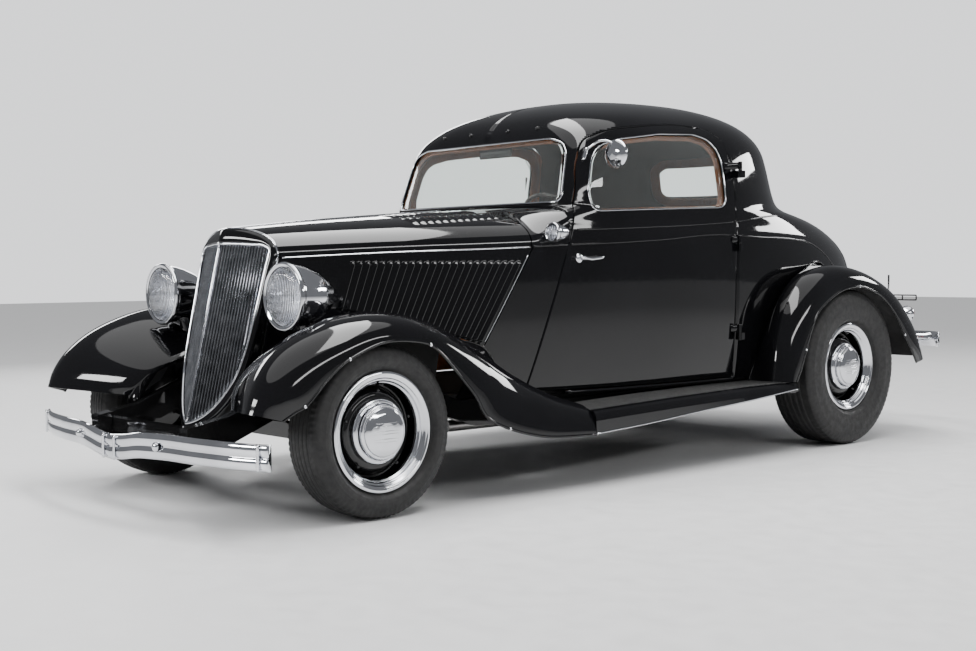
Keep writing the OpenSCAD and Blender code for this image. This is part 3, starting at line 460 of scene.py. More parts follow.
weave = add(CARPET, "ShaderNodeTexVoronoi", Scale=900.0)
link(CARPET, where(CARPET), weave.inputs["Vector"])
bump(CARPET, weave.outputs["Distance"], 0.002, 0.7)
bars = add(CORE_METAL, "ShaderNodeTexBrick", Scale=60.0)
link(CORE_METAL, where(CORE_METAL), bars.inputs["Vector"])
bump(CORE_METAL, bars.outputs["Fac"], 0.003, 0.8)

# ---------------------------------------------------------------- the cabin's surface
# height, half-width, front, front power, rear, rear power
LEVELS = np.array([
    [340, 642, 650, 14, 3600, 2.1], [450, 652, 650, 14, 3700, 2.1], [600, 661, 650, 14, 3762, 2.1],
    [750, 666, 650, 14, 3772, 2.1], [880, 667, 650, 14, 3715, 2.1], [950, 667, 650, 14, 3640, 2.1],
    [1000, 664, 650, 14, 3550, 2.1], [1045, 656, 850, 14, 3440, 2.1], [1080, 652, 1000, 14, 3310, 2.1],
    [1105, 650, 1106, 14, 3170, 2.1], [1125, 648, 1118, 14, 3040, 2.1], [1150, 646, 1126, 14, 2960, 2.1],
    [1195, 642, 1140, 14, 2905, 2.15], [1265, 632, 1160, 13, 2865, 2.2], [1335, 618, 1180, 12, 2835, 2.25],
    [1400, 598, 1202, 10, 2805, 2.3], [1455, 568, 1232, 7, 2765, 2.3], [1505, 520, 1285, 5, 2700, 2.3],
    [1548, 450, 1370, 3.6, 2610, 2.3], [1580, 370, 1485, 2.9, 2500, 2.2], [1603, 275, 1625, 2.4, 2375, 2.1],
    [1616, 165, 1790, 2.1, 2240, 2], [1620.5, 90, 1900, 2, 2140, 2], [1622, 1, 2015, 2, 2025, 2]])
PLAN_WIDTH = [[-60, 250], [300, 361], [600, 450], [900, 535], [1120, 590], [1600, 650], [2050, 667], [2400, 667]]
MIDDLE = 2050.0
level_at = np.linspace(0, len(LEVELS) - 1, 2400)
fine_levels = curve(np.c_[np.arange(len(LEVELS)), LEVELS], level_at)


def level(z):
    """Half-width, front, front power, rear and rear power of the cabin at a height."""
    return [np.interp(z, fine_levels[:, 0], fine_levels[:, k]) for k in range(1, 6)]


def plan_share(y):
    """Half-width of the body's plan at a station, as a share of the widest."""
    return curve(PLAN_WIDTH, np.minimum(y, 2400))[..., 0] / 667


def side_x(y, z):
    """Cabin half-width at a station and height: superellipse ahead of and behind the widest place."""
    a, front, nf, rear, nr = level(z)
    u = np.clip((MIDDLE - y) / (MIDDLE - front), 0, 1)
    v = np.clip((y - MIDDLE) / (rear - MIDDLE), 0, 1)
    q = np.where(y < MIDDLE, (1 - u ** nf) ** (1 / nf), (1 - v ** nr) ** (1 / nr))
    return a * q * plan_share(y)


def front_y(x, z):
    """Station of the cabin's front at a half-width and height, found by repeated substitution."""
    a, front, nf, _, _ = level(z)
    y = np.full(np.broadcast(x, z).shape, 1200.0)
    for _ in range(6):
        q = np.clip(np.abs(x) / (a * plan_share(y)), 0, 1)
        y = MIDDLE - (MIDDLE - front) * (1 - q ** nf) ** (1 / nf)
    return y


def rear_y(x, z):
    """Station of the cabin's rear at a half-width and height."""
    a, _, _, rear, nr = level(z)
    q = np.clip(np.abs(x) / a, 0, 1)
    return MIDDLE + (rear - MIDDLE) * (1 - q ** nr) ** (1 / nr)


def deck_z(x, y):
    """Height of the deck over a place in plan, by halving."""
    low, high = np.full(np.shape(x), 760.0), np.full(np.shape(x), 1500.0)
    for _ in range(40):
        z = (low + high) / 2
        above = rear_y(x, z) > y
        low, high = np.where(above, z, low), np.where(above, high, z)
    return low


def side_place(yz, s=1):
    """Points on the cabin's side from their station and height."""
    return np.stack([s * side_x(yz[..., 0], yz[..., 1]), yz[..., 0], yz[..., 1]], -1)


def front_place(xz):
    """Points on the cabin's front from their half-width and height."""
    return np.stack([xz[..., 0], front_y(xz[..., 0], xz[..., 1]), xz[..., 1]], -1)


def rear_place(xz):
    """Points on the cabin's rear from their half-width and height."""
    return np.stack([xz[..., 0], rear_y(xz[..., 0], xz[..., 1]), xz[..., 1]], -1)


def outward(place_of, flat, s=1, step=1.0):
    """Unit normals of a projected surface at flat places, by small steps; they point away from the
    cabin's middle."""
    du, dv = np.array([step, 0]), np.array([0, step])
    P = place_of(flat)
    N = np.cross(place_of(flat + du) - place_of(flat - du), place_of(flat + dv) - place_of(flat - dv))
    N /= np.maximum(np.linalg.norm(N, axis=-1, keepdims=True), 1e-9)
    away = P - [0, MIDDLE, 900]
    return N * np.sign((N * away).sum(-1, keepdims=True)) * s


DOOR = outline([[928, 358], [1022, 652], [1120, 954], [1150, 1050], [1185, 1170], [1212, 1290], [1262, 1378], [1330, 1408],
                [1567, 1452], [1909, 1474], [2060, 1458], [2108, 1420], [2118, 1370], [2118, 860], [2118, 358]], 560, (0, 14))
SIDE_WINDOW = softened([[1240, 1120], [1232, 1173], [1267, 1298], [1300, 1345], [1345, 1371], [1440, 1398], [1693, 1434],
                       [1930, 1446], [2010, 1428], [2055, 1385], [2072, 1330], [2074, 1160], [2064, 1132], [2036, 1118],
                       [1640, 1102], [1278, 1086], [1252, 1096]], 360)
SHIELD = softened([[-505, 1122], [-525, 1140], [-513, 1235], [-500, 1330], [-470, 1375], [-400, 1398], [0, 1398], [400, 1398],
                  [470, 1375], [500, 1330], [513, 1235], [525, 1140], [505, 1122], [0, 1122]], 360)
BACK_WINDOW = softened([[-300, 1225], [-330, 1250], [-325, 1310], [-315, 1370], [-270, 1400], [0, 1400], [270, 1400],
                       [315, 1370], [325, 1310], [330, 1250], [300, 1225], [0, 1225]], 300)
lid_plan = np.array([[-440, 3700], [-430, 3480], [-418, 3300], [-405, 3130], [-382, 3078], [-330, 3040], [-160, 3036],
                     [160, 3036], [330, 3040], [382, 3078], [405, 3130], [418, 3300], [430, 3480], [440, 3700]], float)
lid_top = np.stack([lid_plan[1:-1, 0], deck_z(lid_plan[1:-1, 0], lid_plan[1:-1, 1])], 1)
LID = outline(np.concatenate([[[-440, 560], [-438, 720]], lid_top, [[438, 720], [440, 560]]]), 420, (0, len(lid_top) + 3))
ARCH_R = REAR_TYRE_D / 2 + 62
arch_t = np.radians(np.linspace(180, 0, 60))
ARCH = np.concatenate([[[WHEELBASE - ARCH_R, 200]], np.stack([WHEELBASE + ARCH_R * np.cos(arch_t),
                       REAR_TYRE_D / 2 + ARCH_R * np.sin(arch_t)], 1), [[WHEELBASE + ARCH_R, 200]]])


def grown(P, d):
    """Closed outline moved outward by d along its own normals."""
    T = np.roll(P, -1, 0) - np.roll(P, 1, 0)
    T /= np.maximum(np.linalg.norm(T, axis=1, keepdims=True), 1e-9)
    area = 0.5 * (P[:, 0] * np.roll(P[:, 1], -1) - P[:, 1] * np.roll(P[:, 0], -1)).sum()
    return P + np.stack([T[:, 1], -T[:, 0]], 1) * d * np.sign(area)


def inside(P, q):
    """Whether each place q lies inside outline P, by counting crossings of a ray."""
    a, b = P, np.roll(P, -1, 0)
    x, y = q[:, :1], q[:, 1:]
    crosses = (a[:, 1] > y) != (b[:, 1] > y)
    with np.errstate(divide="ignore", invalid="ignore"):
        at = a[:, 0] + (y - a[:, 1]) * (b[:, 0] - a[:, 0]) / (b[:, 1] - a[:, 1])
    return (crosses & (x < at)).sum(1) % 2 == 1


def nearest_on(P, q):
    """Nearest place on outline P to each q."""
    a, d = P, np.roll(P, -1, 0) - P
    t = ((q[:, None] - a) * d).sum(-1) / np.maximum((d * d).sum(-1), 1e-9)
    on = a + np.clip(t, 0, 1)[..., None] * d
    best = ((on - q[:, None]) ** 2).sum(-1).argmin(1)
    return on[np.arange(len(q)), best]


def cut(V, F, hole, axes, lift, only):
    """Removes the quads whose corners all lie in a hole of the sheet, and draws the corners that
    stick into it onto its outline. axes are the two coordinates that the hole is drawn in, and
    lift gives the third back from them."""
    q = V[:, axes]
    near = only & np.all((q > hole.min(0) - 1) & (q < hole.max(0) + 1), axis=1)
    within = np.zeros(len(V), bool)
    within[near] = inside(hole, q[near])
    F = F[~within[F].all(1)]
    used = np.zeros(len(V), bool)
    used[F.ravel()] = True
    move = np.flatnonzero(within & used)
    V = V.copy()
    V[move] = lift(nearest_on(hole, q[move]), V[move])
    return V, F


# half of the cabin as a grid: polar angle from the front round to the rear, by level
w = np.linspace(-1, 1, 66)
front_angles = 45 + 45 * np.sign(w) * np.abs(w) ** 1.9
angles = np.radians(np.concatenate([front_angles[:-1], 90 + np.linspace(0, 90, 84)]))[:, None]
steps = np.linspace(0, len(LEVELS) - 1, 23 * 7 + 1)[None, :]
Z, A, FRONT, NF, REAR, NR = np.moveaxis(curve(np.c_[np.arange(len(LEVELS)), LEVELS], steps), -1, 0)
power = np.where(angles < np.pi / 2, NF, NR)
reach = (np.sin(angles).clip(0) ** power + np.abs(np.cos(angles)) ** power) ** (-1 / power)
grid_y = np.where(angles < np.pi / 2, MIDDLE - (MIDDLE - FRONT) * reach * np.cos(angles).clip(0),
                  MIDDLE + (REAR - MIDDLE) * reach * (-np.cos(angles)).clip(0))
CABIN = np.stack([A * reach * np.sin(angles).clip(0) * plan_share(grid_y), grid_y, np.broadcast_to(Z, grid_y.shape)], -1)
CABIN[0, :, 0] = CABIN[-1, :, 0] = 0
cabin_normals = grid_normals(CABIN)
cabin_normals *= np.sign((cabin_normals * (CABIN - [0, MIDDLE, 700])).sum(-1, keepdims=True))
cabin_normals[0, :, 0] = cabin_normals[-1, :, 0] = 0
V, F, N = CABIN.reshape(-1, 3), grid_faces(*CABIN.shape[:2]), cabin_normals.reshape(-1, 3)


def keep_ahead(q, v):
    """Middle corners keep their place across; the others go back on the cabin's side."""
    return np.stack([np.where(v[:, 0] < 1, v[:, 0], side_x(q[:, 0], q[:, 1])), q[:, 0], q[:, 1]], 1)


def keep_side(q, v):
    """Back on the cabin's side, left or right as before."""
    return np.stack([np.sign(v[:, 0]) * side_x(q[:, 0], q[:, 1]), q[:, 0], q[:, 1]], 1)


def keep_front(q, v):
    """Back on the cabin's front."""
    return front_place(q)


def keep_rear(q, v):
    """Back on the cabin's rear."""
    return rear_place(q)


AHEAD = np.array([[100, 200], [1117, 200], [1117, 1300], [100, 1300]], float)
V, F = cut(V, F, AHEAD, [1, 2], keep_ahead, V[:, 1] < 1500)
V, F = cut(V, F, grown(DOOR, GAP), [1, 2], keep_side, V[:, 0] > 300)
V, F = cut(V, F, SHIELD, [0, 2], keep_front, V[:, 1] < 1600)
V, F = cut(V, F, BACK_WINDOW, [0, 2], keep_rear, V[:, 1] > 2400)
V, F = cut(V, F, grown(LID, GAP), [0, 2], keep_rear, V[:, 1] > 2700)
V, F = cut(V, F, ARCH, [1, 2], keep_side, V[:, 0] > 300)
V, F, N = mirrored(V, F, N)
corner = V[F]
facing = np.cross(corner[:, 2] - corner[:, 0], corner[:, 3] - corner[:, 1])
if (facing * N[F].mean(1)).sum() < 0:
    F = F[:, ::-1]
V, F, lining = thicken(V, F, N, 22)
make("body_shell_skin", V, F, [BLACK_PAINT, HEADLINER], "chassis", "body_shell", "body_paint", part=lining, merge=0.05)


# ---------------------------------------------------------------- doors, lid and glass
def spokes(inner, outer, rows):
    """Flat ring between two outlines: each point of the outer one is joined to the inner one along
    the line to the inner outline's centre, in the given steps."""
    c = inner.mean(0)
    turn = np.unwrap(np.arctan2(*(outer - c).T[::-1]))
    inner_turn, inner_r = np.arctan2(*(inner - c).T[::-1]), np.linalg.norm(inner - c, axis=1)
    order = np.argsort(inner_turn)
    r = np.interp(turn, inner_turn[order], inner_r[order], period=2 * np.pi)
    near = c + r[:, None] * np.stack([np.cos(turn), np.sin(turn)], 1)
    return near[:, None] + rows[None, :, None] * (outer - near)[:, None]


def patch(P, rows=18):
    """Flat fan of an outline from its centre."""
    s = np.linspace(0, 1, rows)
    return P.mean(0) + s[None, :, None] * (P - P.mean(0))[:, None]


def fit(sheet, place_of):
    """Lays a flat sheet on a projected surface and gives its corners, faces turned outward, and
    normals."""
    P, N = place_of(sheet), outward(place_of, sheet)
    F = grid_faces(*P.shape[:2], True, False)
    c = P.reshape(-1, 3)[F]
    out = np.cross(c[:, 2] - c[:, 0], c[:, 3] - c[:, 1])
    if (out * N.reshape(-1, 3)[F].mean(1)).sum() < 0:
        F = F[:, ::-1]
    return P.reshape(-1, 3), F, N.reshape(-1, 3)


def beading(shape, place_of, away, depth, profile):
    """Moulding carried along an outline, away outside it and depth below the surface."""
    edge = grown(shape, away)
    N = outward(place_of, edge)
    return swept(place_of(edge) - depth * N, profile, N, True)


GARNISH = circle(8, 12, 26)
rows = np.linspace(0, 1, 60) ** 1.25
for side, s in (("left", 1), ("right", -1)):
    body = f"door_{side}"
    V, F, N = fit(spokes(SIDE_WINDOW, DOOR, rows), side_place)
    V, F, lining = thicken(V, F, N, 34)
    make(f"door_skin_{side}", V * [s, 1, 1], F, [BLACK_PAINT, LEATHER], body, body, "body_paint",
         part=lining, flip=s < 0, merge=0.02)
    V, F, N = fit(patch(grown(SIDE_WINDOW, -0.3)), side_place)
    V, F, _ = thicken(V - 13 * N, F, N, 5)
    make(f"door_window_{side}", V * [s, 1, 1], F, GLASS, body, f"door_glass_{side}", "glass", flip=s < 0, merge=0.05)
    V, F = beading(SIDE_WINDOW, side_place, -2, 3, circle(3.2, 8))
    make(f"window_channel_{side}", V * [s, 1, 1], F, CHROME, body, slot="chrome", flip=s < 0)
    V, F = beading(SIDE_WINDOW, side_place, 12, 40, GARNISH)
    make(f"window_garnish_{side}", V * [s, 1, 1], F, TRIM_BROWN, body, slot="trim_brown", flip=s < 0)

V, F, N = fit(patch(LID, 46), rear_place)
V, F, lining = thicken(V, F, N, 16)
make("deck_lid_skin", V, F, [BLACK_PAINT, UNDER_PAINT], "deck", "deck_lid", "body_paint", part=lining, merge=0.05)

for name, shape, place_of, finish, slot in (("windshield", SHIELD, front_place, CHROME, "chrome"),
                                            ("rear_window", BACK_WINDOW, rear_place, UNDER_PAINT, "chassis_paint")):
    V, F, N = fit(patch(grown(shape, -0.3)), place_of)
    V, F, _ = thicken(V - 11 * N, F, N, 5)
    make(f"{name}_glass", V, F, GLASS, "chassis", name, "glass", merge=0.05)
    make(f"{name}_surround", *beading(shape, place_of, -3, 3, circle(4.5, 8)), finish, "chassis", slot=slot)
    make(f"{name}_garnish", *beading(shape, place_of, 14, 34, GARNISH), TRIM_BROWN, "chassis", slot="trim_brown")


# ---------------------------------------------------------------- hood and cowl
SHOULDER = [[-60, 897], [300, 915], [900, 938], [1160, 950]]
CREST = [[-110, 1008], [200, 1040], [500, 1066], [880, 1094], [1160, 1112]]
TUCK = [[300, 0.955], [450, 0.978], [600, 0.991], [750, 0.998], [880, 1], [1000, 1]]


def hood_x(y, z):
    """Half-width of the hood's side."""
    return plan_share(y) * 667 * curve(TUCK, np.clip(z, 300, 1000))[..., 0]


def hood_top(y, t, power=2.4):
    """Hood's top by station and angle from its middle: a superellipse quarter, crest to shoulder."""
    zs, zc = curve(SHOULDER, y)[..., 0], curve(CREST, y)[..., 0]
    e = 2 / power
    return np.stack([plan_share(y) * 667 * np.sin(t).clip(0) ** e, y, zs + (zc - zs) * np.cos(t).clip(0) ** e], -1)


def hood_front(x):
    """Station of the hood top's front edge at a half-width."""
    return -104 + 0.2 * x


def hood_rear(z):
    """Station of the hood side's rear edge at a height."""
    return 945 - 0.54 * (925 - z)


def side_front(z):
    """Station of the hood side's front edge at a height."""
    return -54 - 0.18 * (897 - z)


t = np.radians(np.concatenate([[0.35], np.linspace(2, 89.6, 46)]))[:, None]
louvre = np.array([0, 0.12, 0.3, 0.5, 0.68, 0.8, 0.86, 0.9, 0.96])
HOOD_LENGTH, TOP_START, TOP_PITCH, TOP_COUNT = 943, 540, 30, 12
slots = TOP_START + TOP_PITCH * np.arange(TOP_COUNT)[:, None] + TOP_PITCH * louvre
along = np.concatenate([np.linspace(0, TOP_START, 26)[:-1], slots.ravel(), [900, 921, HOOD_LENGTH]])
front = hood_front(250 * np.sin(t))
y = front + (HOOD_LENGTH - front) * along[None, :] / HOOD_LENGTH
P = hood_top(y, t)
slotted_run = (along > TOP_START) & (along < 899)
rise = np.interp((along - TOP_START) / TOP_PITCH % 1, [0, 0.1, 0.8, 0.88, 1], [0, 0, 1, 0, 0]) * slotted_run
row = sum(smooth_step((np.degrees(t) - a) / 2) * smooth_step((b - np.degrees(t)) / 2) for a, b in ((13, 27), (33, 49)))
up = grid_normals(P)
P = P + up * (np.sign(up[..., 2:]) * (5 * row * rise)[..., None])
P[0, :, 0] = np.maximum(P[0, :, 0], 2.2)
both_sides("hood_top_panel", P, 5, BLACK_PAINT, UNDER_PAINT, ("hood_top_left", "hood_top_right"),
           ("hood_top_left", "hood_top_right"), slot="body_paint", away=(150, 450, 600))

# front fender tables: station, crown x y z, lip x y z, inner x y z
FRONT_FENDER = [
    [0, 712, -498, 392, 781, -403, 366, 372, -330, 372], [1, 705, -474, 458, 800, -370, 392, 350, -318, 400],
    [2, 690, -425, 530, 812, -325, 420, 330, -290, 440], [3, 672, -345, 597, 818, -245, 500, 312, -235, 480],
    [4, 655, -235, 652, 820, -163, 556, 298, -150, 505], [5, 645, -100, 692, 820, -16, 606, 300, -40, 525],
    [6, 645, 60, 706, 820, 137, 602, 330, 110, 550], [7, 652, 240, 676, 820, 214, 573, 372, 260, 585],
    [8, 664, 395, 612, 820, 297, 498, 415, 400, 608], [9, 678, 525, 540, 821, 391, 402, 455, 540, 592],
    [10, 692, 680, 450, 824, 475, 300, 498, 740, 545], [11, 706, 850, 372, 832, 717, 226, 545, 850, 385],
    [12, 716, 1005, 324, 840, 1005, 207, 585, 1005, 322]]
fender_in = curve(FRONT_FENDER, np.arange(3.5, 12.1, 0.5))[:, 7:9]


def sill(y):
    """Lowest line of the hood's side, just above the fender."""
    return np.interp(y, fender_in[:, 0], fender_in[:, 1]) + 2.5


# the side's louvres start at this share of its length and repeat at this share of it
SIDE_START, SIDE_PITCH, SIDE_COUNT = 0.262, 0.0299, 24
slots = SIDE_START + SIDE_PITCH * np.arange(SIDE_COUNT)[:, None] + SIDE_PITCH * louvre
f = np.concatenate([np.linspace(0, SIDE_START, 12)[:-1], slots.ravel(), [0.98, 0.99, 1.0]])
down = np.linspace(0, 1, 60)[:, None]
yt, yb = -50 + 993 * f, -92 + 832 * f
zt, zb = curve(SHOULDER, yt)[:, 0] - GAP, sill(yb)
z = zt + (zb - zt) * down
y0 = side_front(z)
y = y0 + (hood_rear(z) - 2 - y0) * f
P = np.stack([hood_x(y, z), y, z], -1)
top, low = 880.0, 702 - (f - SIDE_START) * 203
inside_louvre = smooth_step((top - z) / 9) * smooth_step((z - low) / 9) * ((f > SIDE_START) & (f < 0.979))
phase = (f - SIDE_START) / SIDE_PITCH % 1
P[..., 0] += 11 * inside_louvre * np.interp(phase, [0, 0.1, 0.45, 0.82, 0.89, 1], [0, 0, 0.62, 1, 0, 0])
both_sides("hood_side_panel", P, 5, BLACK_PAINT, UNDER_PAINT, ("chassis", "chassis"),
           ("hood_side_left", "hood_side_right"), slot="body_paint", away=(0, 450, 700))

# cowl: the top and side between hood and doors
g = np.linspace(0, 1, 30)
t = np.radians(np.linspace(0, 90, 40))[:, None]
upper = hood_top(943 + GAP + (1115 - 943 - GAP) * g + 0 * t, t, 2.4 + 4 * g * g)
z = np.linspace(944, 348, 60)[1:, None]
y0 = hood_rear(z) - 2 + GAP
y = y0 + (np.minimum(1120, 1120 - (954 - z) * 0.3236) - GAP - y0) * g
lower = np.stack([hood_x(y, z), y, z + 0 * y], -1)
P = np.concatenate([upper, lower])
whole = np.concatenate([P[:0:-1] * [-1, 1, 1], P])
wall("cowl_skin", whole, 12, BLACK_PAINT, HEADLINER, "chassis", nodes="cowl", slot="body_paint", away=(0, 1000, 650))

# ---------------------------------------------------------------- fenders and running boards
RAIL_TOP = [[-500, 312], [-330, 345], [-120, 430], [150, 450], [430, 430], [640, 340], [2260, 340]]
RAIL_OUT = [[-500, 350], [-100, 350], [200, 372], [1100, 520]]
REAR_FENDER = [
    [0, 714, 2258, 331, 836, 2345, 331, 2240, 331], [1, 715, 2290, 500, 840, 2372, 385, 2330, 490],
    [2, 720, 2345, 640, 842, 2410, 473, 2420, 560], [3, 722, 2430, 745, 842, 2452, 565, 2500, 660],
    [4, 722, 2535, 815, 842, 2520, 655, 2600, 750], [5, 722, 2650, 848, 842, 2684, 736, 2720, 838],
    [6, 722, 2760, 860, 842, 2850, 758, 2846, 878], [7, 722, 2900, 848, 842, 2980, 732, 2940, 860],
    [8, 720, 3050, 812, 842, 3077, 690, 3060, 800], [9, 712, 3228, 742, 842, 3180, 612, 3200, 720],
    [10, 700, 3380, 640, 840, 3265, 512, 3330, 620], [11, 692, 3490, 520, 838, 3335, 432, 3420, 510],
    [12, 684, 3560, 390, 832, 3392, 366, 3470, 400]]


def arc_between(a, b, t, power):
    """Superellipse quarter from a (t = 0) down to b (t = 90 degrees), crown first: x follows
    1 - cos^(2/p), y and z follow sin^(2/p)."""
    u, v = 1 - np.cos(t).clip(0) ** (2 / power), np.sin(t).clip(0) ** (2 / power)
    share = np.stack([v, u, u], -1)
    return a[:, None] + share * (b - a)[:, None]


station = np.linspace(0, 12, 121)
R = curve(FRONT_FENDER, station)
crown, lip, inner = R[:, :3], R[:, 3:6], R[:, 6:].copy()
against = hood_x(R[:, 7], R[:, 8]) + 0.8
inner[:, 0] = np.where(station < 5, R[:, 6], against)
rail = np.stack([np.interp(inner[:, 1], *np.transpose(RAIL_OUT)) - 12, inner[:, 1],
                 np.interp(inner[:, 1], *np.transpose(RAIL_TOP)) + 7], 1)
apron = np.where((station <= 9)[:, None], rail, inner - [0, 0, 30])
t_out, t_in = np.radians(np.linspace(90, 4, 26)), np.radians(np.linspace(0, 90, 26))
skirt = np.linspace(0, 1, 6)[1:, None, None]
P = np.concatenate([arc_between(crown, lip, t_out, 2.3), arc_between(crown, inner, t_in, 1.25),
                    (inner + skirt * (apron - inner)).transpose(1, 0, 2)], 1)
both_sides("front_fender_skin", P, 4, BLACK_PAINT, UNDER_PAINT, ("chassis", "chassis"),
           ("front_fender_left", "front_fender_right"), slot="body_paint", away=(560, 50, 200))
R = curve(REAR_FENDER, station)
crown, lip = R[:, :3], R[:, 3:6]
inner = np.stack([side_x(R[:, 6], R[:, 7]) + 2, R[:, 6], R[:, 7]], 1)
REAR_SKIN = np.concatenate([arc_between(crown, lip, t_out, 2.3), arc_between(crown, inner, t_in, 2)], 1)
both_sides("rear_fender_skin", REAR_SKIN, 4, BLACK_PAINT, UNDER_PAINT, ("chassis", "chassis"),
           ("rear_fender_left", "rear_fender_right"), slot="body_paint", away=(600, 2845, 200))
front_lip, rear_lip, welt = P[:, 0], lip, inner


def pair(name, V, F, finish, body="chassis", slot=None, nodes=("", ""), sides=("left", "right"), **more):
    """The same piece on the left and, mirrored, on the right; body may name one for each side."""
    bodies = (body, body) if isinstance(body, str) else body
    for side, s, b, node in zip(sides, (1, -1), bodies, nodes):
        make(f"{name}_{side}", V * [s, 1, 1], F, finish, b, node or (), slot, flip=s < 0, **more)


V, F = join(swept(front_lip - [1, 0, 0], circle(5.5, 10), [1, 0, 0]), swept(rear_lip - [1, 0, 0], circle(5.5, 10), [1, 0, 0]),
            swept(by_length(welt + [2, 0, 0], 120), circle(4, 8), [1, 0, 0]))
pair("fender_bead", V, F, BLACK_PAINT, slot="body_paint")


def dome(centre, axis, r, h, n=14):
    """Round-headed bolt: rings at radius r cos(a), height h sin(a), about an axis."""
    axis = np.asarray(axis, float) / np.linalg.norm(axis)
    u = np.cross(axis, [0.3, 0.9, 0.2])
    u /= np.linalg.norm(u)
    v = np.cross(axis, u)
    a, b = np.radians(np.linspace(0, 90, 6))[:, None, None], np.linspace(0, 2 * np.pi, n, endpoint=False)[None, :, None]
    G = np.asarray(centre) + r * np.cos(a) * (np.cos(b) * u + np.sin(b) * v) + h * np.sin(a) * axis
    return G.reshape(-1, 3), grid_faces(6, n, False, True)


lip_bolts = [front_lip[i] + [1, 0, 0] for i in (18, 40, 66, 104)] + [rear_lip[i] + [1, 0, 0] for i in (20, 60, 100)]
pair("fender_bolts", *join(*[dome(p, [1, 0, 0], 6.5, 4.5) for p in lip_bolts]), CHROME, slot="chrome", merge=0.01)

BOARD = [[1006, 207, 300], [1320, 223, 310], [1640, 246, 319], [2060, 273, 327], [2200, 284, 327], [2352, 296, 327]]
board_y = np.linspace(1005.5, 2351, 60)
under, over = curve(BOARD, board_y).T
section = [(560, -34, 0), (560, -2, 0), (566, 0, 0), (600, 0.6, 0)]
ribs = np.arange(606, 806, 12.5)
section += [(x + dx, 1.6 + h, 0) for x in ribs for dx, h in ((0, 0), (1.5, 4), (5.5, 4), (7, 0))]
section += [(812, 1.2, 0), (824, -3, 0), (833, -12, 0), (838, -24, 0), (840.5, -40, 0), (842, 0, 1), (836, 0, 1),
            (826, -46, 0), (812, -34, 0)]
G = np.array([[[x, yy, (lo if low_end else hi) + dz] for x, dz, low_end in section]
              for yy, lo, hi in zip(board_y, under, over)])
n = G.shape[1]
part = np.tile(np.where((np.arange(n) > 3) & (np.arange(n) < n - 10), 1, 0), len(board_y) - 1)
V, F = lofted(G)
part = np.concatenate([part, np.zeros(len(F) - len(part), int)])
pair("running_board_tread", V, F, [BLACK_PAINT, BOARD_RUBBER], slot="board_rubber", part=part,
     nodes=("running_board_left", "running_board_right"), smooth=False)
trim = np.stack([np.full(60, 842.5), board_y, under + 4], 1)
pair("running_board_edge", *swept(trim, circle(3, 8), [1, 0, 0]), CHROME, slot="chrome")

# ---------------------------------------------------------------- grille
GRILLE_WIDTH = [[249, 14], [275, 74], [310, 126], [360, 166], [430, 200], [530, 222], [680, 236], [860, 246], [905, 250]]


def prow(x, z):
    """Station of the pointed grille face at a half-width and height."""
    return -308 + 0.229 * (z - 249) + 0.33 * np.sqrt(x * x + 36) - 2.0


half_out = by_length([[0, 240]] + [[w, z] for z, w in GRILLE_WIDTH]
                     + [[236, 945], [200, 972], [140, 992], [70, 1003], [0, 1006]], 150)
half_in = by_length([[0, 290], [10, 292], [60, 312], [108, 350], [148, 400], [180, 455], [203, 540], [217, 680], [226, 850],
                     [230, 900], [230, 925], [205, 940], [140, 946], [66, 950], [0, 951]], 150)


def whole_outline(half):
    """A half outline and its mirror image, as one."""
    return np.concatenate([half[:0:-1] * [-1, 1], half[:-1]])


o, i = whole_outline(half_out), whole_outline(half_in)
face_o = prow(o[:, 0], o[:, 1])
side_y = np.where(o[:, 1] > 890, hood_front(np.abs(o[:, 0])) - GAP, np.minimum(side_front(o[:, 1]) - GAP, face_o + 96))
rings = [(i, prow(i[:, 0], i[:, 1]) + 18), (i, prow(i[:, 0], i[:, 1]) + 1)]
for u, lift in ((0.06, -2), (0.2, -4), (0.4, -5), (0.6, -4.5), (0.78, -2), (0.92, 2), (1.0, 6)):
    m = i + u * (o - i)
    rings.append((m, prow(m[:, 0], m[:, 1]) + lift))
rings += [(o + np.sign(o[:, :1]) * [[0.6 * k, 0]], face_o + 6 + k * (side_y - face_o - 6)) for k in (0.2, 0.45, 0.7, 1.0)]
P = np.array([np.stack([q[:, 0], yy, q[:, 1]], 1) for q, yy in rings])
P = np.concatenate([P, P[:, :1]], 1)
wall("grille_surround", P, 4, BLACK_PAINT, UNDER_PAINT, "chassis", nodes="grille_shell", slot="body_paint",
     away=(0, 400, 600), merge=0.01)
edge = np.stack([i[:, 0], prow(i[:, 0], i[:, 1]) - 1, i[:, 1]], 1)
make("grille_inner_bead", *swept(edge, circle(5, 10), [0, -1, 0], True), CHROME, "chassis", slot="chrome")
nose_edge = P[-1, :-1] + [0, -1.5, 2.5]
top_run = nose_edge[(nose_edge[:, 2] > 700)]
order = np.argsort(-np.arctan2(top_run[:, 0], top_run[:, 2] - 700))
make("hood_front_trim", *swept(top_run[order], circle(4, 8), [0, 0, 1]), CHROME, "chassis", slot="chrome")

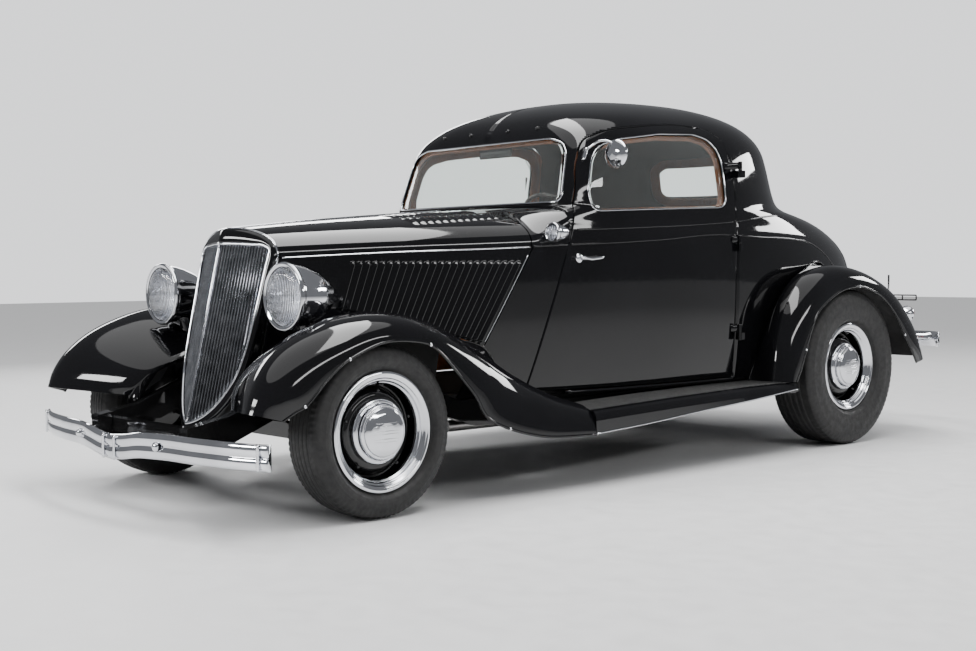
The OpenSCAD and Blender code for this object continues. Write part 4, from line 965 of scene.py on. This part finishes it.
BAR_PITCH = 13.0
bar_parts = []
bar_section = np.array([[-3.4, 26], [-3.4, 5], [-2.2, 1.2], [0, -0.6], [2.2, 1.2], [3.4, 5], [3.4, 26]])
full_in = by_length(half_in, 400)
low_half, high_half = full_in[full_in[:, 1] < 905], full_in[full_in[:, 1] > 926][::-1]
for k in range(-17, 18):
    x = k * BAR_PITCH
    z0, z1 = (np.interp(abs(x), part[:, 0], part[:, 1]) for part in (low_half, high_half))
    z = np.linspace(z0 + 1, z1 - 1, 12)
    line = np.stack([np.full(12, x), prow(x, z) + 5, z], 1)
    G = line[:, None] + np.stack([bar_section[:, 0], bar_section[:, 1], 0 * bar_section[:, 0]], 1)[None]
    bar_parts.append((G.reshape(-1, 3), grid_faces(12, 7)[:, ::-1]))
make("grille_fins", *join(*bar_parts), BAR_METAL, "chassis", "grille_bars", "grille_metal", smooth=False)
ribs = []
for z in (400, 620, 840):
    w = np.interp(z, low_half[:, 1], low_half[:, 0]) - 1
    x = np.linspace(-w, w, 61)
    ribs.append(swept(np.stack([x, prow(x, z) + 16, np.full(61, z)], 1), circle(2.5, 8), [0, -1, 0]))
make("grille_ribs", *join(*ribs), BAR_METAL, "chassis", slot="grille_metal")
z = np.linspace(296, 948, 40)
make("grille_centre_bar", *swept(np.stack([0 * z, prow(0, z) - 1, z], 1), circle(5, 10, 3.5), [0, -1, 0]),
     CHROME, "chassis", slot="chrome")

# ---------------------------------------------------------------- bumpers
FRONT_BAR = [[0, -600, 232], [90, -598, 240], [180, -592, 252], [282, -572, 255], [500, -545, 255],
             [700, -500, 254], [797, -462, 254]]
REAR_BAR = [[0, 3965, 455], [300, 3955, 458], [550, 3905, 462], [700, 3810, 466], [770, 3720, 468]]
bar_face = [(-3, 44), (2, 44.5), (6, 40), (9.5, 30), (10, 18), (8, 7), (4, 2.5), (3.4, 0), (4, -2.5), (8, -7), (10, -18),
            (9.5, -30), (6, -40), (2, -44.5), (-3, -44), (-4, 0)]


def bumper(rows, end, out, shift):
    """Face section carried along the bar's curve: the bar keeps upright, and its tips close."""
    x = np.linspace(-end, end, 151)
    line = curve(rows, np.abs(x))
    G = np.array([[[a, y + shift + out * d, z + h] for d, h in bar_face] for a, (y, z) in zip(x, line)])
    return lofted(G)


# the rear bar is drawn with its face ending at REAR_END and moved to where the frame's one ends
REAR_END = 3975
rear_shift = 1000 * (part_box("rear_bumper")[1].y) - AXLE_Y - REAR_END
V, F = bumper(FRONT_BAR, 797, -1, 0)
irons = [swept(np.array([[s * 322, -562, 255], [s * 322, -530, 256], [s * 322, -500.6, 258]]), circle(17, 12, 8), [0, 0, 1])
         for s in (1, -1)]
make("front_bumper_bar", *join((V, F[:, ::-1]), *irons), CHROME, "chassis", "front_bumper", "chrome")
V, F = bumper(REAR_BAR, 770, 1, rear_shift)
V[:, 2] = (V[:, 2] - 460) * 0.9 + 460
ARM = [[3561, 292], [3730, 292], [3850, 380], [3925, 450], [3948, 452]]
arms = [swept([[s * 355, y, z] for y, z in ARM], circle(26, 12, 9), [0, 0, 1]) for s in (1, -1)]
make("rear_bumper_bar", *join((V, F), *arms), CHROME, "chassis", "rear_bumper", "chrome")
bolts, clamps = [], []
for s in (1, -1):
    bolts += [dome([s * 282, -582, 255], [0, -1, 0], 17, 13, 20),
              dome([s * 300, REAR_END + rear_shift - 14, 458], [0, 1, 0], 15, 10, 20)]
    for x, y, z in ((762, -478, 254), (40, -601, 234)):
        clamps.append(swept([[s * x, y - 11, z + h] for h in np.linspace(-44, 44, 9)], circle(3.5, 8, 8), [0, -1, 0]))
make("bumper_bolts", *join(*bolts, *clamps), CHROME, "chassis", slot="chrome", merge=0.01)

# ---------------------------------------------------------------- lamps
def two_turned(profile, at, n):
    """A form turned about a line along Y at a place, and again at its mirror image."""
    return [turned_about_y(profile, at * [s, 1, 1], n) for s in (1, -1)]


def two_stems(path, profile):
    """A stem carried along a path, and another along the path's mirror image."""
    return [swept(np.array(path) * [s, 1, 1], profile, [0, 0, 1]) for s in (1, -1)]


LENS_D, LAMP = 231.0, np.array([426.0, -161.0, 758.0])
r = LENS_D / 2
bucket = rounded([(r - 9, 2), (r + 2, -3), (r + 8, 6), (r + 6, 15), (r + 0.5, 22), (r - 3, 50), (r - 12, 88), (r - 30, 136),
                  (r - 56, 180), (r - 88, 220), (12, 241), (0.2, 244)], 14, 5)
glass = rounded([(0.2, -15), (40, -13), (80, -7), (r - 10, 2), (r - 10, 8), (r - 14, 12), (80, -3), (40, -9), (0.2, -11)], 6, 4)
bowl = rounded([(r - 12, 8), (r - 16, 12), (r - 34, 60), (60, 98), (16, 118), (0.2, 119)], 10, 4)
make("headlight_buckets", *join(*two_turned(bucket, LAMP, 72)), CHROME, "chassis", "headlights", "chrome", flip=True, merge=0.3)
make("headlight_glass", *join(*two_turned(glass, LAMP, 72)), LENS, "chassis", "headlight_lenses", "lamp_glass", merge=0.3)
make("headlight_reflectors", *join(*two_turned(bowl, LAMP, 60)), CHROME, "chassis", slot="chrome", merge=0.3)
bulb = rounded([(14, 112), (14, 92), (22, 78), (20, 62), (8, 52), (0.2, 50)], 8, 4)
make("headlight_bulbs", *join(*two_turned(bulb, LAMP, 24)), LENS, "chassis", slot="lamp_glass", merge=0.3)
small = rounded([(30, -33), (36, -36), (40, -32), (40, -24), (36, -18), (35, -4), (30, 22), (20, 46), (8, 60), (0.2, 62)], 6, 5)
small_glass = rounded([(0.2, -40), (18, -38), (32, -31), (32, -26), (16, -30), (0.2, -32)], 3, 4)
small_bowl = rounded([(34, -31), (26, -12), (12, 4), (0.2, 8)], 8, 4)
COWL_LAMP = np.array([606.0, 1034.0, 996.0])
stems = two_stems([[560, 1026, 972], [584, 1030, 968], [604, 1034, 966]], circle(7, 12))
V, F = join(*two_turned(small, COWL_LAMP, 48), *stems)
make("cowl_lamp_shells", V, F, CHROME, "chassis", "cowl_lamps", "chrome", merge=0.3)
make("cowl_lamp_glass", *join(*two_turned(small_glass, COWL_LAMP, 40)), LENS, "chassis", slot="lamp_glass", merge=0.3)
make("cowl_lamp_bowls", *join(*two_turned(small_bowl, COWL_LAMP, 40)), CHROME, "chassis", slot="chrome", merge=0.3)
tail = rounded([(10, 0), (34, 18), (42, 40), (42, 46)], 10, 5)
tail_lens = rounded([(41, 44), (40, 54), (30, 64), (0.2, 70)], 8, 5)
TAIL = np.array([622.0, 3610.0, 602.0])
V, F = join(*two_turned(tail, TAIL, 40), *two_stems([[622, y, 602] for y in (3440, 3500, 3612)], circle(16, 16)))
make("tail_lamp_shells", V, F, CHROME, "chassis", "tail_lamps", "chrome", merge=0.3)
make("tail_lamp_glass", *join(*two_turned(tail_lens, TAIL, 40)), RED_LENS, "chassis", slot="red_lens", merge=0.3)

# ---------------------------------------------------------------- trim on the sides
belt = [[1001, 942], [1616, 973], [1978, 999], [2318, 990], [2619, 985], [2840, 963], [3000, 905], [3100, 851], [3180, 790]]
upper_belt = [[1113, 1008], [1500, 1024], [1900, 1044], [2162, 1063], [2328, 1081], [2520, 1098]]


def half_round(rows, y0, y1, place_of, width=9, height=3.5, n=90):
    """A half-round moulding on a surface, along rows [station, height]."""
    y = np.linspace(y0, y1, n)
    q = np.stack([y, curve(rows, y)[:, 0]], 1)
    profile = circle(height, 10, width / 2)
    N = outward(side_place, q) if place_of is side_place else np.tile([1.0, 0, 0], (n, 1))
    return swept(place_of(q) - 0.3 * N, profile, N)


def hood_place(q):
    """Points on the hood's side from their station and height."""
    return np.stack([hood_x(q[..., 0], q[..., 1]), q[..., 0], q[..., 1]], -1)


pair("door_belt_moulding",
     *join(half_round(belt, 1126, 2112, side_place), half_round(upper_belt, 1160, 2112, side_place)), BLACK_PAINT,
     ("door_left", "door_right"), "body_paint")
pair("quarter_belt_moulding",
     *join(half_round(belt, 2126, 3160, side_place), half_round(upper_belt, 2126, 2520, side_place)), BLACK_PAINT,
     slot="body_paint")
cowl_line = [[945, 939], [1001, 942], [1118, 948]]
pair("cowl_belt_moulding", *half_round(cowl_line, 955, 1108, hood_place, n=30), BLACK_PAINT, slot="body_paint")
hinge_line = [[-40, 896], [300, 913], [900, 936], [942, 938]]
pair("hood_side_trim", *half_round(hinge_line, -44, 940, hood_place, 6, 3), CHROME, slot="chrome")
z = np.linspace(905, 560, 40)
rear_edge = np.stack([hood_x(hood_rear(z) - 6, z) + 0.5, hood_rear(z) - 6, z], 1)
pair("hood_side_rear_trim", *swept(rear_edge, circle(2.2, 8), [1, 0, 0]), CHROME, slot="chrome")
y = np.linspace(-107, 941, 60)
crest = np.stack([0 * y, y, curve(CREST, y)[:, 0] + 1.2], 1)
make("hood_centre_hinge", *swept(crest, circle(2.8, 10, 2.0), [0, 0, 1]), CHROME, "chassis", "hood_hinge", "chrome")

# handles, mirrors and hinges on the doors
bx = float(plan_share(np.array(1166.0)) * 667)
grip = [[bx + 32, 1146, 893], [bx + 36, 1166, 893], [bx + 35, 1200, 890], [bx + 33, 1240, 893], [bx + 31, 1268, 896]]
handle = [swept([[bx - 0.5, 1166, 893], [bx + 18, 1166, 893], [bx + 34, 1168, 893]], circle(8, 14), [0, 0, 1]),
          swept(by_length(grip, 30), circle(7, 12, 6), [0, 0, 1]),
          dome([bx - 1, 1166, 893], [1, 0, 0], 20, 7, 24), dome([bx + 31, 1268, 896], [0, 1, 0], 7, 9, 12)]
mx0 = float(side_x(np.array(1246.0), np.array(1312.0)))
mirror_centre = np.array([674.0, 1302.0, 1318.0])
mirror_shell = rounded([(0.2, 22), (30, 18), (52, 8), (59, 0), (60, -6), (56, -9)], 8, 5)
arm_line = [[mx0 - 1, 1246, 1330], [mx0 + 30, 1252, 1352], [mx0 + 72, 1270, 1372], [mx0 + 104, 1292, 1364],
            [mx0 + 116, 1298, 1336], mirror_centre]
foot_line = [[mx0 - 4, 1232, 1300], [mx0 + 3, 1236, 1306], [mx0 + 4, 1246, 1330], [mx0 + 2, 1252, 1346]]
arm = [swept(by_length(arm_line, 40), circle(5.5, 12), [0, 0, 1]), swept(foot_line, circle(12, 14, 5), [1, 0, 0])]
V, F = turned_about_y(mirror_shell * [1, -1], mirror_centre, 40)
arm.append((V, F[:, ::-1]))
hinges = []
for z in (560, 960, 1290):
    hx = float(side_x(np.array(2122.0), np.array(float(z + 18))))
    hinges.append(swept([[684, 2122, z + h] for h in (0.5, 3, 33, 36)], circle(9, 18), [1, 0, 0]))
    leaf = [[684, 2120, z + 18], [hx + 4, 2104, z + 18], [hx + 2, 2084, z + 18]]
    hinges.append(swept(leaf, circle(15, 12, 4), [0, 0, 1]))
pair("door_handle", *join(*handle), CHROME, ("door_left", "door_right"), "chrome",
     ("door_fittings_left", "door_fittings_right"), merge=0.01)
make("driver_mirror", *join(*arm), CHROME, "door_left", slot="chrome", merge=0.01)
pair("door_hinge_leaves", *join(*hinges), BLACK_PAINT, ("door_left", "door_right"), "body_paint")
face = circle(1, 40)
G = np.array([mirror_centre + np.stack([55 * k * face[:, 0], np.full(40, 7 + 1.5 * k), 55 * k * face[:, 1]], 1)
              for k in (0.001, 0.4, 0.8, 1.0)])
make("driver_mirror_glass", G.reshape(-1, 3), grid_faces(4, 40, False, True), CHROME, "door_left", slot="chrome", merge=0.1)

header = [[x, 1445.0] for x in (-300, -120, 120, 300)]
P, N = front_place(np.array(header)), outward(front_place, np.array(header))
studs = [dome(p - 0.5 * n, n, 9, 11, 16) for p, n in zip(P, N)]
make("windshield_hinge_studs", *join(*studs), BLACK_PAINT, "chassis", slot="body_paint", merge=0.01)


def slotted(x0, x1, y, z0, z1):
    """Flat strip with one long slot, as a closed ring of bars."""
    bars = [[[x0, y, z], [x1, y, z]] for z in (z0, z1)]
    bars += [[[x, y, z0], [x, y, z1]] for x in (x0, (x0 + x1) / 2, x1)]
    return [swept(np.array([a, (np.array(a) + b) / 2, b], float), circle(4, 8), [0, 1, 0]) for a, b in bars]


arm_y = 3905 + rear_shift + 20
post = swept([[350, arm_y, z] for z in (462, 600, 806)], circle(9, 10, 3), [0, 1, 0])
make("plate_side_arm", *join(post, *slotted(352, 520, arm_y, 668, 694)), BLACK_PAINT, "chassis", slot="chassis_paint")

# ---------------------------------------------------------------- wheels and tyres
def tread(R, W, b, r, n=260):
    """Tyre surface: section from bead to bead by angle. The crown has ribs parted by grooves, and
    the shoulders are cut by sipes that repeat all the way round."""
    right = rounded([(r - 2, b - 10), (r + 3, b + 1), (r + 22, b + 2), (r + 34, b + 0.72 * (W - b)), ((r + R) / 2, W),
                     (R - 36, W - 4), (R - 14, W - 12), (R - 5, W - 24)], 12, 6)
    half_crown = W - 24
    x = np.linspace(half_crown - 2, -half_crown + 2, 58)
    groove = sum(np.exp(-((x - c) / 2.4) ** 4) for c in np.linspace(-0.62, 0.62, 5) * half_crown)
    crown = np.stack([R - 4.5 * (x / half_crown) ** 2 - 5.5 * groove.clip(0, 1), x], 1)
    section = np.concatenate([right, crown, right[::-1] * [1, -1]])
    t = np.linspace(0, 2 * np.pi, n, endpoint=False)[:, None]
    rad, h = section.T
    sipe_count = 84
    shoulder = smooth_step((np.abs(h) - 0.66 * half_crown) / 6) * (rad > R - 30)
    sipe = np.exp(-((((t * sipe_count / (2 * np.pi) + 0.012 * np.abs(h)) % 1) - 0.5) / 0.17) ** 4)
    rr = rad - 3.2 * shoulder * sipe
    ring = 1.2 * (np.exp(-((rad - (r + 40)) / 2) ** 2) + np.exp(-((rad - (R - 44)) / 2) ** 2))
    return np.stack([np.broadcast_to(h + np.sign(h) * ring, rr.shape), np.cos(t) * rr, np.sin(t) * rr], -1)


def wheel_parts(b, r):
    """Profiles (radius, out) of a steel wheel: barrel and disc, bright trim ring, and cap."""
    barrel = rounded([(r + 13, -b - 3), (r + 12, -b - 6), (r - 8, -b - 6), (r - 8, -b + 20), (r - 28, -b + 42), (r - 28, b - 60),
                      (r - 34, b - 66), (150, b - 58), (140, b - 40), (128, b - 30), (0.2, b - 30)], 7, 4)
    ring = rounded([(r + 12, b - 2), (r + 19, b + 5), (r + 18, b + 10), (r + 8, b + 13), (r + 2, b + 9), (r - 4, b + 8),
                    (r - 8, b + 1), (r - 14, b - 1), (r - 18, b - 10), (r - 24, b - 14), (r - 26, b - 24)], 4, 5)
    cap = rounded([(110, b - 30), (114, b - 24), (112, b - 14), (104, b - 8), (99, b - 9), (97, b + 2), (92, b + 10),
                   (86, b + 9), (84, b + 16), (62, b + 24), (34, b + 28), (0.2, b + 29)], 4, 5)
    return barrel, ring, cap


def cap_lines(b, s):
    """Plain raised lines across the cap: three pairs of narrow ribs."""
    parts = []
    for row in (-27, 0, 27):
        for d in (-5, 5):
            w = math.sqrt(56 ** 2 - (row + d) ** 2)
            z = np.linspace(-w, w, 15)
            q = np.stack([0 * z + s * (b + 28.5 - 0.0016 * ((row + d) ** 2 + z ** 2)), z, 0 * z + row + d], 1)
            parts.append(swept(q, circle(1.6, 8), [s, 0, 0]))
    return join(*parts)


for end, (R, W, b, y) in {"front": (FRONT_TYRE_D / 2, FRONT_TYRE_W / 2, 65.0, 0.0),
                          "rear": (REAR_TYRE_D / 2, REAR_TYRE_W / 2, 80.0, WHEELBASE)}.items():
    plane = abs((FRONT_WHEEL if end == "front" else REAR_WHEEL)[0])
    for side, s in (("left", 1), ("right", -1)):
        at, body = np.array([s * plane, y, R]), f"{end}_wheel_{side}"
        G = tread(R, W, b, RIM_D / 2)
        F = grid_faces(*G.shape[:2], True, False)[:, ::-1]
        make(f"{end}_tyre_tread_{side}", (G + at).reshape(-1, 3), F, RUBBER, body, f"{end}_tyre_{side}", "tyre")
        barrel, ring, cap = wheel_parts(b, RIM_D / 2)
        V, F = turned_about_x(barrel, at, 96, s)
        make(f"{end}_wheel_disc_{side}", V, F, CHASSIS_PAINT, body, body, "wheel", merge=0.3)
        V, F = turned_about_x(ring, at, 120, s)
        make(f"{end}_trim_ring_{side}", V, F, CHROME, body, slot="chrome", merge=0.05)
        V, F = turned_about_x(cap, at, 96, s)
        lines = cap_lines(b, s)
        make(f"{end}_hub_cap_{side}", *join((V, F), (lines[0] + at, lines[1])), CHROME, body, slot="chrome", merge=0.05)
        nuts = [dome(at + [s * (b - 27), 141 * math.cos(a), 141 * math.sin(a)], [s, 0, 0], 7, 9, 10)
                for a in np.linspace(0.3, 0.3 + 2 * np.pi, 5, endpoint=False)]
        stem = swept(np.array([at + [s * k, 0, 160] for k in (b - 30, b - 10, b + 2)]), circle(4, 10), [0, 1, 0])
        make(f"{end}_wheel_studs_{side}", *join(*nuts, stem), CHASSIS_PAINT, body, slot="wheel", merge=0.01)

# ---------------------------------------------------------------- cabin furniture


def cushion(low, high, lean=0.0, channels=12, crown=14.0, power=6.0):
    """Closed padded form: a superellipsoid box whose top is crowned, and sewn in channels across
    its width; lean slides each height rearward."""
    low, high = np.asarray(low, float), np.asarray(high, float)
    u, v = np.meshgrid(np.radians(np.linspace(-90, 90, 60)), np.radians(np.linspace(0, 360, 240, endpoint=False)),
                       indexing="ij")
    q = np.stack([np.cos(u) * np.cos(v), np.cos(u) * np.sin(v), np.sin(u)], -1)
    q /= ((np.abs(q) ** power).sum(-1, keepdims=True)) ** (1 / power)
    half = (high - low) / 2
    P = q * half
    edge = (1 - np.abs(q[..., 0]) ** 2) * (1 - np.abs(q[..., 1]) ** 4)
    seam = 1 - np.abs(np.cos(np.pi * channels * (P[..., 0] / half[0] + 1) / 2)) ** 0.5
    facing = q / np.linalg.norm(q, axis=-1, keepdims=True)
    P = P + facing * (crown * edge - 9 * (1 - seam) * edge)[..., None] * [0.2, 0.8, 0.8]
    P[..., 1] += lean * (P[..., 2] / half[2])
    m, n = P.shape[:2]
    return (P + (low + high) / 2).reshape(-1, 3), grid_faces(m, n, False, True)[:, ::-1]


width = 1000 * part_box("seat")[1][0] - 8
V, F = cushion([-width, 1556, 372], [width, 2136, 596], 0, 14, 16)
seat_base = make("seat_cushion", V, F, LEATHER, "chassis", "seat", "leather", merge=0.3)
V, F = cushion([-width, 2128, 500], [width, 2222, 1000], 26, 14, 10, 5)
seat_back = make("seat_backrest", V, F, LEATHER, "chassis", slot="leather", merge=0.3)
shape = rounded([(1150, 900), (1205, 888), (1230, 930), (1228, 1000), (1200, 1050), (1130, 1062), (1128, 980), (1150, 900)],
                16, 5)[:-1]
x = np.linspace(-505, 505, 40)
G = np.array([[[a, yy, z] for yy, z in shape] for a in x])
make("dashboard_pad", *lofted(G), TRIM_BROWN, "chassis", "dashboard", "trim_brown")
gauges, faces = [], []
for x, r in ((250, 44), (330, 52), (410, 44), (0, 38), (-90, 30), (90, 30)):
    base = np.array([x, 1231.0, 970.0])
    bezel = rounded([(r, -6), (r + 3, 4), (r - 2, 9), (r - 7, 7), (r - 8, 2)], 2, 3)
    gauges.append(turned_about_y(bezel, base, 36))
    faces.append(turned_about_y([(r - 7, 3), (0.3, 3)], base, 30))
make("gauge_bezels", *join(*gauges), CHROME, "chassis", slot="chrome", flip=True)
make("gauge_faces", *join(*faces), CORE_METAL, "chassis", slot="chassis_paint", flip=True, merge=0.3)
hub = np.array([330.0, 1345.0, 1020.0])
n = np.array([0, 360.0, 320.0]) / math.hypot(360, 320)
u, v = np.array([1.0, 0, 0]), np.cross(n, [1.0, 0, 0])
t = np.linspace(0, 2 * np.pi, 96, endpoint=False)
rim = hub + 191 * (np.cos(t)[:, None] * u + np.sin(t)[:, None] * v)
spread = [swept(rim, circle(9, 14), n, True)]
for a in np.radians((90, 210, 330)):
    d = np.cos(a) * u + np.sin(a) * v
    for off in (-7, 7):
        e = np.cross(n, d) * off
        line = np.array([hub + d * k + e - n * dip for k, dip in ((20, 14), (60, 12), (120, 6), (188, 0))])
        spread.append(swept(by_length(line, 16), circle(2.6, 8), n))
boss = rounded([(26, -30), (30, -8), (24, 4), (0.2, 10)], 6, 5)
G = hub + (np.cos(t[::4])[:, None, None] * u + np.sin(t[::4])[:, None, None] * v) * boss[None, :, :1] + n * boss[None, :, 1:]
spread.append((G.reshape(-1, 3), grid_faces(24, len(boss), True, False)))
make("steering_wheel_rim", *join(*spread), HELM_RIM, "steering_wheel", "steering_wheel", "helm", merge=0.05)
column = np.array([hub - n * 34, hub - n * 200, hub - n * 470])
make("steering_column", *swept(column, circle(17, 20), [1, 0, 0]), CHASSIS_PAINT, "chassis", slot="chassis_paint")
mirror_at = np.array([0.0, 1262.0, 1362.0])
back = swept([mirror_at + [k, 0, 0] for k in (-98, -92, -40, 0, 40, 92, 98)], circle(24, 20, 7), [0, 0, 1])
stalk = swept([mirror_at + [0, -k, 1.2 * k] for k in (0, 12, 40)], circle(5, 10), [1, 0, 0])
make("inside_mirror", *join(back, stalk), CHASSIS_PAINT, "chassis", slot="chrome")

# carpet on the floor, with a roll at its edge
m = np.linspace(0, 1, 40)[:, None]
half = np.interp(700 + m * 1540, [700, 985, 1120, 1600, 2240], [430, 478, 510, 560, 572])
a = np.linspace(-1, 1, 50)[None, :]
y = 700 + m * 1540 + 0 * a
P = np.stack([a * (half - 4), y, 357 + 3 * np.sin(a * 6) * np.sin(m * 9) * 0.3 + 2 * (1 - a ** 8) + 0 * y], -1)
wall("floor_carpet_sheet", P, 2.2, CARPET, CARPET, "chassis", slot="floor_mat", away=(0, 1500, 0))

# nodes that keep their own mesh get their finishes
KEPT = {
    "frame": CHASSIS_PAINT, "front_axle": CHASSIS_PAINT, "knuckle_left": CHASSIS_PAINT, "knuckle_right": CHASSIS_PAINT,
    "tie_rod": CHASSIS_PAINT, "rear_axle": CHASSIS_PAINT, "floor_pan": UNDER_PAINT, "fuel_tank": UNDER_PAINT,
    "hinge_body": BLACK_PAINT, "headlight_stands": BLACK_PAINT, "plate_bracket": BLACK_PAINT, "radiator": CORE_METAL,
    "engine": ENGINE_IRON, "exhaust": STEEL}
for node, finish in KEPT.items():
    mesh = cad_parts[node].data
    mesh.materials.clear()
    mesh.materials.append(finish)
    mesh.polygons.foreach_set("material_index", np.zeros(len(mesh.polygons), np.int32))

# ---------------------------------------------------------------- floor, light and camera
floor_finish = matt("studio_floor", (0.8, 0.8, 0.8), (0.82, 0.82, 0.82), 0.5, 60, 0.00005)
bpy.ops.mesh.primitive_plane_add(size=60, location=(0, 0, -0.001))
floor = bpy.context.object
floor.name = "studio_floor"
floor.data.materials.append(floor_finish)
floor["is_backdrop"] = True

world = bpy.data.worlds.new("studio_air")
world.use_nodes = True
air = world.node_tree
seen = air.nodes.new("ShaderNodeLightPath")
near_air = air.nodes["Background"]
near_air.inputs["Color"].default_value = (0.93, 0.95, 1.0, 1)
near_air.inputs["Strength"].default_value = 0.22
far_air = air.nodes.new("ShaderNodeBackground")
far_air.inputs["Color"].default_value = (0.97, 0.98, 1.0, 1)
far_air.inputs["Strength"].default_value = 1.5
either = air.nodes.new("ShaderNodeMixShader")
straight = air.nodes.new("ShaderNodeMath")
straight.operation = "MAXIMUM"
air.links.new(seen.outputs["Is Camera Ray"], straight.inputs[0])
air.links.new(seen.outputs["Is Transmission Ray"], straight.inputs[1])
air.links.new(straight.outputs[0], either.inputs[0])
air.links.new(near_air.outputs[0], either.inputs[1])
air.links.new(far_air.outputs[0], either.inputs[2])
air.links.new(either.outputs[0], air.nodes["World Output"].inputs["Surface"])
bpy.context.scene.world = world


def softbox(name, at, to, size, watts, colour=(1, 1, 1)):
    """Rectangular lamp at a place, turned towards another."""
    lamp = bpy.data.lights.new(name, "AREA")
    lamp.shape, lamp.size, lamp.size_y = "RECTANGLE", *size
    lamp.energy, lamp.color = watts, colour
    thing = bpy.data.objects.new(name, lamp)
    bpy.context.scene.collection.objects.link(thing)
    thing.location = at
    thing.rotation_mode = "QUATERNION"
    thing.rotation_quaternion = (Vector(to) - Vector(at)).to_track_quat("-Z", "Y")


sky = bpy.data.lights.new("wide_soft_light", "SUN")
sky.energy, sky.angle = 1.7, 1.3
high_lamp = bpy.data.objects.new("wide_soft_light", sky)
bpy.context.scene.collection.objects.link(high_lamp)
softbox("overhead_bank", (0.6, -0.2, 5.0), (0, 0, 0), (1.6, 6.0), 330)
softbox("near_side_bank", (7.5, 0.6, 3.4), (0, 0.2, 0.9), (6.0, 0.5), 150)
softbox("front_bank", (-1.6, -8.5, 3.4), (0, -1.5, 0.7), (3.2, 1.0), 330)
softbox("far_side_bank", (-6.5, 1.0, 3.2), (0, 0, 0.8), (7.0, 1.0), 220)
softbox("tail_bank", (2.5, 8.0, 3.4), (0, 1.5, 0.8), (3.0, 1.0), 200)

YAW, PITCH, ROLL = (math.radians(a) for a in (47.395, -2.409, -0.299))
ahead = np.array([-math.sin(YAW) * math.cos(PITCH), math.cos(YAW) * math.cos(PITCH), math.sin(PITCH)])
right = np.array([math.cos(YAW), math.sin(YAW), 0])
up = np.cross(right, ahead)
right, up = math.cos(ROLL) * right + math.sin(ROLL) * up, math.cos(ROLL) * up - math.sin(ROLL) * right
camera = bpy.data.cameras.new("studio_camera")
camera.sensor_width, camera.lens = 36.0, 50.18
camera.dof.use_dof = False
eye = bpy.data.objects.new("studio_camera", camera)
bpy.context.scene.collection.objects.link(eye)
turn = np.eye(4)
turn[:3, 0], turn[:3, 1], turn[:3, 2], turn[:3, 3] = right, up, -ahead, (4.423, -2.858 + AXLE_Y / 1000, 0.854)
eye.matrix_world = Matrix(turn.tolist())
bpy.context.scene.camera = eye

low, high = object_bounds()
